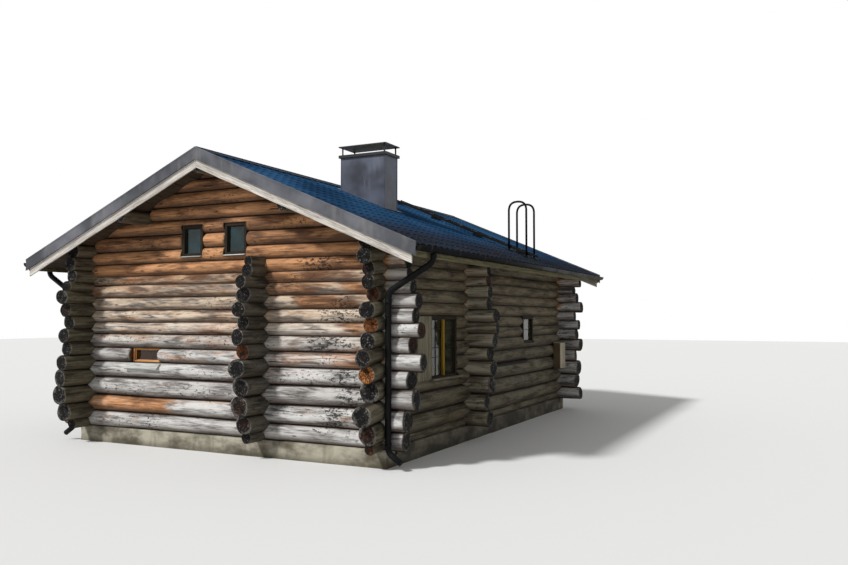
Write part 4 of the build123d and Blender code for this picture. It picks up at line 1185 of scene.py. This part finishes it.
roomGlass, loftGlass, saunaGlass = (windowGlass(name, look) for name, look in glassLooks.items())
paleSill = paintedMetal("paleSill", loftSill)
for side, word in bothSides:
    frames, panes = Shape(120 + side), Shape(130 + side)
    for opening in windows["side"]:
        fitWindow(frames, panes, 0, side, windows["sideFace"], opening)
    frames.piece(word + "Frames", [darkFrame, ochreBar], word + "_window_frames")
    panes.piece(word + "Glass", [roomGlass], word + "_window_panes")
for side, word in bothEnds:
    frames, panes = Shape(140 + side), Shape(150 + side)
    for opening in windows["loft"]:
        place = fitWindow(frames, panes, 1, side, windows["gableFace"], opening)
        rings = [[place(u, v, w) for v, w in windows["loftSill"]] for u in windows["sillEnds"]]
        frames.loft(rings, slot=1)
    if side < 0:
        pine, dark = Shape(160), Shape(161)
        fitWindow(pine, dark, 1, side, windows["saunaFace"], windows["sauna"])
        pine.piece("saunaFrame", [pineFrame])
        dark.piece("saunaGlassPane", [saunaGlass])
    frames.piece(word + "Frames", [darkFrame, paleSill], word + "_window_frames")
    panes.piece(word + "Glass", [loftGlass], word + "_window_panes")
print("windows ready")

# sills and casings
weathered = {"deep": (96, 90, 74), "light": (140, 132, 112), "stain": (66, 58, 46), "wear": 0.45}
silvered = {"deep": (150, 152, 150), "light": (206, 206, 200), "stain": (96, 96, 96), "wear": 0.35}
weatheredBoard, silverBoard = greyBoard("weatheredBoard", weathered), greyBoard("silverBoard", silvered)
# side boards give (x, from, to, height, width, thickness, edge, cuts, wobble)
sillLook = {
    "side": (
        (2.915, -2.6592, -1.7008, 1.1019, 0.0292, 0.0243, 0.003, 6, 0.0003),
        (2.9595, -2.72, -1.64, 1.1021, 0.0596, 0.0246, 0.004, 8, 0.0004)),
    "from": -1.8995, "to": -1.2005, "ease": 0.0045, "inset": 0.004, "cuts": 10,
}
sills = Shape(170)
for side in (-1, 1):
    for x, near, far, z, wide, thick, bevel, cuts, wobble in sillLook["side"]:
        sills.bar((side * x, near, z), (side * x, far, z), wide, thick, bevel=bevel, cuts=cuts, wobble=wobble)
# the sauna's sill follows the slab of the CAD model
slab = [v.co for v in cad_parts["window_sills"].data.vertices if v.co.y < -3.9 and v.co.x < -1.899]
corners = {(round(c.y, 4), round(c.z, 4)) for c in slab}
corners = sorted(corners, key=lambda c: math.atan2(c[1] - 1.259, c[0] + 4.071))
middleY, middleZ = (sum(c[i] for c in corners) / 4 for i in (0, 1))
inner = steps(sillLook["from"] + sillLook["ease"], sillLook["to"] - sillLook["ease"], sillLook["cuts"])
stops = (
    [(sillLook["from"], sillLook["inset"])] + [(x, 0.0) for x in inner]
    + [(sillLook["to"], sillLook["inset"])])
rings, grains = [], []
for x, inset in stops:
    ring = []
    for k, (y, z) in enumerate(corners):
        for other in (corners[k - 1], corners[(k + 1) % 4]):
            away = Vector((other[0] - y, other[1] - z)).normalized() * 0.004
            ring.append((x, y + away[0] + (middleY - y) * inset * 4, z + away[1] + (middleZ - z) * inset * 4))
    rings.append(ring)
    grains.append([(x, y * 0.7, z) for _, y, z in ring])
sills.loft(rings, grains, slot=1)
sills.piece("sillBoards", [weatheredBoard, silverBoard], "window_sills")

# boards give (x, from, to, thickness)
casingLook = {
    "low": 1.0899, "high": 2.0611,
    "boards": (
        (2.865, -2.8894, -2.783, 0.109), (2.865, -2.781, -2.6606, 0.109),
        (2.893, -3.12, -3.006, 0.05), (2.893, -3.004, -2.891, 0.05)),
}
casings = Shape(171)
for side in (-1, 1):
    for x, near, far, thick in casingLook["boards"]:
        y, low, high = (near + far) / 2, casingLook["low"], casingLook["high"]
        casings.board(0, side * x, (y, low), (y, high), far - near, thick, 0.004, cuts=8, wobble=0.0006)
casings.piece("casingBoards", [weatheredBoard], "window_casings")

# back door: a batten gives (from, to, width), with its ends as (x, z)
doorLook = {
    "deep": (92, 58, 34), "light": (140, 94, 58), "stain": (58, 38, 26), "wear": 0.35, "low": 0.2506,
    "frameY": 3.995, "frameDeep": 0.0898, "planksY": 4.001, "planksFrom": -1.8992, "planksTo": -1.1008,
    "planks": 6, "planksHigh": 2.3133, "battensY": 3.9787, "battenThick": 0.0125,
    "jambs": (-1.9247, -1.0753), "jambHigh": 2.3636,
    "battens": [((-1.88, z), (-1.12, z), 0.11) for z in (0.52, 1.28, 2.04)]
    + [((-1.82, z), (-1.18, z + 0.63), 0.1) for z in (0.585, 1.345)],
}
ironLook = {
    "hinges": (0.52, 2.04), "hinge": (-1.885, -1.42), "pinX": -1.893, "bolts": (-1.85, -1.72, -1.59, -1.46),
    "handleX": -1.15, "plate": (1.15, 1.37), "handle": 1.3, "keyhole": 1.21,
    "deep": (24, 24, 26), "light": (44, 44, 46), "dust": (86, 76, 64), "dirt": 0.3, "rough": 0.45,
}
doorWood, ironWork = greyBoard("doorWood", doorLook), paintedMetal("doorIron", ironLook)
jambs, y, deep, low = Shape(180), doorLook["frameY"], doorLook["frameDeep"], doorLook["low"]
for x in doorLook["jambs"]:
    jambs.board(1, y, (x, low), (x, doorLook["jambHigh"]), 0.0498, deep, 0.004, cuts=8, wobble=0.0004)
jambs.board(1, y, (-1.8996, 2.3387), (-1.1004, 2.3387), 0.0496, deep)
jambs.piece("doorFrame", [doorWood], "back_door_frame")
door = Shape(181)
edges = steps(doorLook["planksFrom"], doorLook["planksTo"], doorLook["planks"])
for near, far in zip(edges, edges[1:]):
    start, end = (((near + far) / 2, z) for z in (low, doorLook["planksHigh"]))
    door.board(1, doorLook["planksY"], start, end, far - near - 0.0012, 0.032, 0.004, cuts=8, wobble=0.0003)
for start, end, width in doorLook["battens"]:
    door.board(1, doorLook["battensY"], start, end, width, doorLook["battenThick"])
for z in ironLook["hinges"]:
    door.board(1, 4.0192, *((x, z) for x in ironLook["hinge"]), 0.036, 0.0045, 0.0012, slot=1)
    door.stud((ironLook["pinX"], 4.0235, z - 0.032), (0, 0, 0.064), 0.0075, 14, 1)
    for x in ironLook["bolts"]:
        door.stud((x, 4.021, z), (0, 0.0035, 0), [0.0075, 0.005], 12, 1)
x, z = ironLook["handleX"], ironLook["handle"]
door.board(1, 4.019, *((x, end) for end in ironLook["plate"]), 0.042, 0.004, 0.0015, slot=1)
door.tube(rounded([(x, 4.02, z), (x, 4.066, z), (x - 0.12, 4.066, z)], 0.016, 5), 0.0085, 14, slot=1)
door.stud((x, 4.02, ironLook["keyhole"]), (0, 0.007, 0), 0.011, 16, 1)
door.piece("doorPlanks", [doorWood, ironWork], "back_door")

# meter cabinet
cabinetLook = {
    "deep": (150, 142, 120), "light": (182, 172, 148), "dust": (116, 106, 86), "dirt": 0.3, "rough": 0.4,
}
# the carcass, seen on the cabinet's sides, is brown and darker than the door, partly with painted shade
carcassLook = {
    "deep": (66, 54, 38), "light": (94, 78, 56), "dust": (108, 96, 74), "dirt": 0.3, "rough": 0.45,
}
dial = {"y": 0.165, "z": 0.145, "size": 0.1, "bar": 0.01}
beigeMetal, brownMetal = paintedMetal("beigeCabinet", cabinetLook), paintedMetal("brownCabinet", carcassLook)
(back, left, foot), (face, right, top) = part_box("meter_cabinet")
cabinet, depth, wide, y = Shape(190), face - back, right - left, (left + right) / 2
cabinet.board(0, back + depth * 0.46, (y, foot), (y, top - 0.012), wide - 0.004, depth * 0.92, 0.004, slot=1)
cabinet.board(0, face - 0.0055, (y, foot + 0.009), (y, top - 0.018), wide - 0.02, 0.011)
lid = ((back, top - 0.014), (face, top - 0.022), (face, top - 0.016), (back, top))
cabinet.loft([[(x, y, z) for x, z in lid] for y in (left, left + 0.002, right - 0.002, right)])
for z in (foot + 0.1, top - 0.12):
    cabinet.stud((face - 0.012, right - 0.007, z - 0.025), (0, 0, 0.05), 0.0055, 12, 1)
dialY, dialZ = left + dial["y"], top - dial["z"]
cabinet.board(
    0, face - 0.0022, (dialY, dialZ - 0.05), (dialY, dialZ + 0.05), dial["size"], 0.0024, 0.0008, slot=2)
for shift in (-0.052, 0.052):
    u, v = dialY + shift, dialZ + shift
    cabinet.board(0, face - 0.002, (u, dialZ - 0.057), (u, dialZ + 0.057), dial["bar"], 0.004, 0.0012)
    cabinet.board(0, face - 0.002, (dialY - 0.047, v), (dialY + 0.047, v), dial["bar"], 0.004, 0.0012)
cabinet.stud((face - 0.003, left + 0.04, foot + 0.285), (0.003, 0, 0), 0.009, 16, 2)
for z in (foot + 0.05, foot + 0.065, foot + 0.08):
    cabinet.board(0, face - 0.0012, (y - 0.06, z), (y + 0.06, z), 0.006, 0.0024, 0.0008, slot=2)
cabinet.piece("meterCabinet", [beigeMetal, brownMetal, ironWork], "meter_cabinet")

# roof ladder and its hoops
hoopLook = {
    "ys": (0.85, 1.3), "xs": (2.85, 3.2), "lift": 0.143, "top": 4.2463, "bend": 0.17, "radius": 0.0198,
    "plate": (0.064, 0.138, 0.0088), "bolts": (0.047, 0.05),
}
hoops = Shape(200)
slopeUp, slopeAlong = Vector((roof["fall"], 0, 1)).normalized(), Vector((1, 0, -roof["fall"])).normalized()
for y in hoopLook["ys"]:
    feet = [slopePoint(1, x, y, hoopLook["lift"]) for x in hoopLook["xs"]]
    heads = [(x, y, hoopLook["top"]) for x in hoopLook["xs"]]
    hoops.tube(rounded([feet[0], *heads, feet[1]], hoopLook["bend"], 14), hoopLook["radius"], 24)
    for foot in feet:
        spot = Vector(foot) - Vector((0, 0, 0.0012))
        out, width, thick = hoopLook["plate"]
        hoops.bar(spot - slopeAlong * out, spot + slopeAlong * out, width, thick, slopeUp, 0.0015)
        hoops.tube([spot + slopeUp * 0.004, spot + slopeUp * 0.016], [0.027, 0.0215], 20)
        for a in (-1, 1):
            for b in (-1, 1):
                along, aside = hoopLook["bolts"][0] * a, Vector((0, hoopLook["bolts"][1] * b, 0))
                bolt = spot + slopeAlong * along + aside + slopeUp * 0.004
                hoops.stud(bolt, slopeUp * 0.006, 0.009, 6)
hoops.piece("ladderHoops", [blackMetal], "roof_ladder_hoops")

ladderLook = {
    "near": 0.875, "far": 1.275, "from": 0.26, "to": 3.3, "low": 0.1814, "high": 0.2264, "rungs": 9,
    "pitch": 0.32, "seat": 0.1364, "feet": (0.29, 1.2, 2.11, 3.01), "bolts": (0.925, 1.225),
}
ladder, near, far, low = Shape(201), ladderLook["near"], ladderLook["far"], ladderLook["low"]
middle, height = (low + ladderLook["high"]) / 2, (ladderLook["high"] - low) * slopeUp[2]
for y in (near + 0.01, far - 0.01):
    ends = (slopePoint(1, x, y, middle) for x in (ladderLook["from"] + 0.01, ladderLook["to"] - 0.01))
    ladder.bar(*ends, 0.0198, height - 0.0006, slopeUp, cuts=6)
for k in range(ladderLook["rungs"]):
    x = ladderLook["from"] + ladderLook["pitch"] * (k + 0.5)
    ladder.tube([slopePoint(1, x, y, middle) for y in (near + 0.002, far - 0.002)], 0.0135, 16)
seat, rise = (ladderLook["seat"] + low) / 2, (low - ladderLook["seat"]) * slopeUp[2]
for x in ladderLook["feet"]:
    ladder.bar(*(slopePoint(1, x, y, seat) for y in (near + 0.001, far - 0.001)), 0.05, rise, slopeUp)
    for y in ladderLook["bolts"]:
        ladder.stud(Vector(slopePoint(1, x, y, seat)) + slopeUp * rise / 2, slopeUp * 0.006, 0.009, 6)
ladder.piece("roofLadder", [blackMetal], "roof_ladder")
print("door, cabinet and ladder ready")

# purlins, floors and the masonry stack
purlin = {
    "xs": (-1.56, 0.0, 1.56), "radius": 0.1095, "end": 4.564, "low": 0.1195, "sides": 24,
    "rims": ((0.1045, 0), (0.06, 0.003), (0.01, 0.004)),
}
purlins, end, sides = Shape(210), purlin["end"], purlin["sides"]
for x in purlin["xs"]:
    z = slopePoint(1, x, 0, -purlin["low"])[2]
    stops = [-end, 0.012 - end, *np.linspace(-4.4, 4.4, 60), end - 0.012, end]
    waves = [(purlins.pick.uniform(0.5, 4), purlins.pick.uniform(0, 6.28)) for _ in range(3)]
    swell = [0.0018 * (1 + sum(math.sin(rate * y + phase) for rate, phase in waves) / 3) for y in stops]
    sizes = [purlin["radius"] * (0.955 if abs(y) > 4.56 else 1) - more for y, more in zip(stops, swell)]
    purlins.tube([(x, y, z) for y in stops], sizes, sides, caps=False)
    for sign in (-1, 1):
        rings, grains = [], []
        for radius, inset in purlin["rims"]:
            angles = [circle * k / sides for k in range(sides)]
            spots = [(math.cos(a) * radius, math.sin(a) * radius) for a in angles]
            rings.append([(x + a, sign * (end - inset), z + b) for a, b in spots])
            grains.append([(sign * end, a, b) for a, b in spots])
        purlins.loft(rings, grains, slot=1, caps=False, tone=0.3)
        purlins.face(tuple(range(len(purlins.points) - sides, len(purlins.points))), 1)
# the purlins get the log finish with painted shade
purlins.piece("purlinLogs", [shadedLog, logEnd], "purlins")

loftLook = {"deep": (140, 104, 66), "light": (186, 146, 100), "stain": (104, 74, 46), "wear": 0.3}
shaft = {"left": 0.4896, "right": 1.3904, "front": -1.4004, "back": -0.9496}
loft = Shape(220)
low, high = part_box("loft_floor")
z, whole = (low[2] + high[2]) / 2, [(low[1], high[1])]
cut = [(low[1], shaft["front"]), (shaft["back"], high[1])]
for near, far, count, runs in (
    (low[0], shaft["left"], 26, whole), (shaft["left"], shaft["right"], 8, cut),
    (shaft["right"], high[0], 11, whole),
):
    wide = (far - near) / count
    for k in range(count):
        x = near + wide * (k + 0.5)
        for start, end in runs:
            loft.bar((x, start, z), (x, end, z), wide - 0.0006, high[2] - low[2])
loft.piece("loftPlanks", [greyBoard("loftBoards", loftLook)], "loft_floor")

floorLook = {
    "deep": (112, 110, 104), "light": (150, 147, 140), "stain": (92, 88, 80), "foot": 0.0, "depth": 0.003,
}
dressNode("ground_floor", roughPlaster("floorConcrete", floorLook))
brickLook = {
    "deep": (128, 74, 54), "light": (158, 98, 72), "mortar": (150, 144, 134),
    "wide": 0.262, "row": 0.077, "joint": 0.006,
}


def brickWork(name, look):
    finish = Finish(name, look, Roughness=0.85, Specular_IOR_Level=0.2)
    x, y, z = (finish.part(i, finish.where()) for i in range(3))
    flat = finish.node("ShaderNodeCombineXYZ", {}, {0: x + y, 1: z})
    sockets = {
        "Color1": finish.shade("deep"), "Color2": finish.shade("light"), "Mortar": finish.shade("mortar"),
    }
    sockets.update({"Mortar Size": look["joint"], "Brick Width": look["wide"], "Row Height": look["row"]})
    sockets.update({"Vector": flat, "Scale": 1.0, "Mortar Smooth": 0.3})
    bricks = finish.node("ShaderNodeTexBrick", {}, sockets)
    joint = Wire(finish, bricks.socket.node.outputs["Fac"])
    soot = finish.noise((4, 4, 4), flat, 4)
    finish.colour = finish.blend(finish.step(soot, 0.5, 0.7) * 0.4, bricks, "mortar")
    return finish.close(soot * 0.3 - joint, 0.006, 0.8)


dressNode("chimney_stack", brickWork("stackBricks", brickLook))
print("purlins, floors and stack ready")

# close
print("scene built")
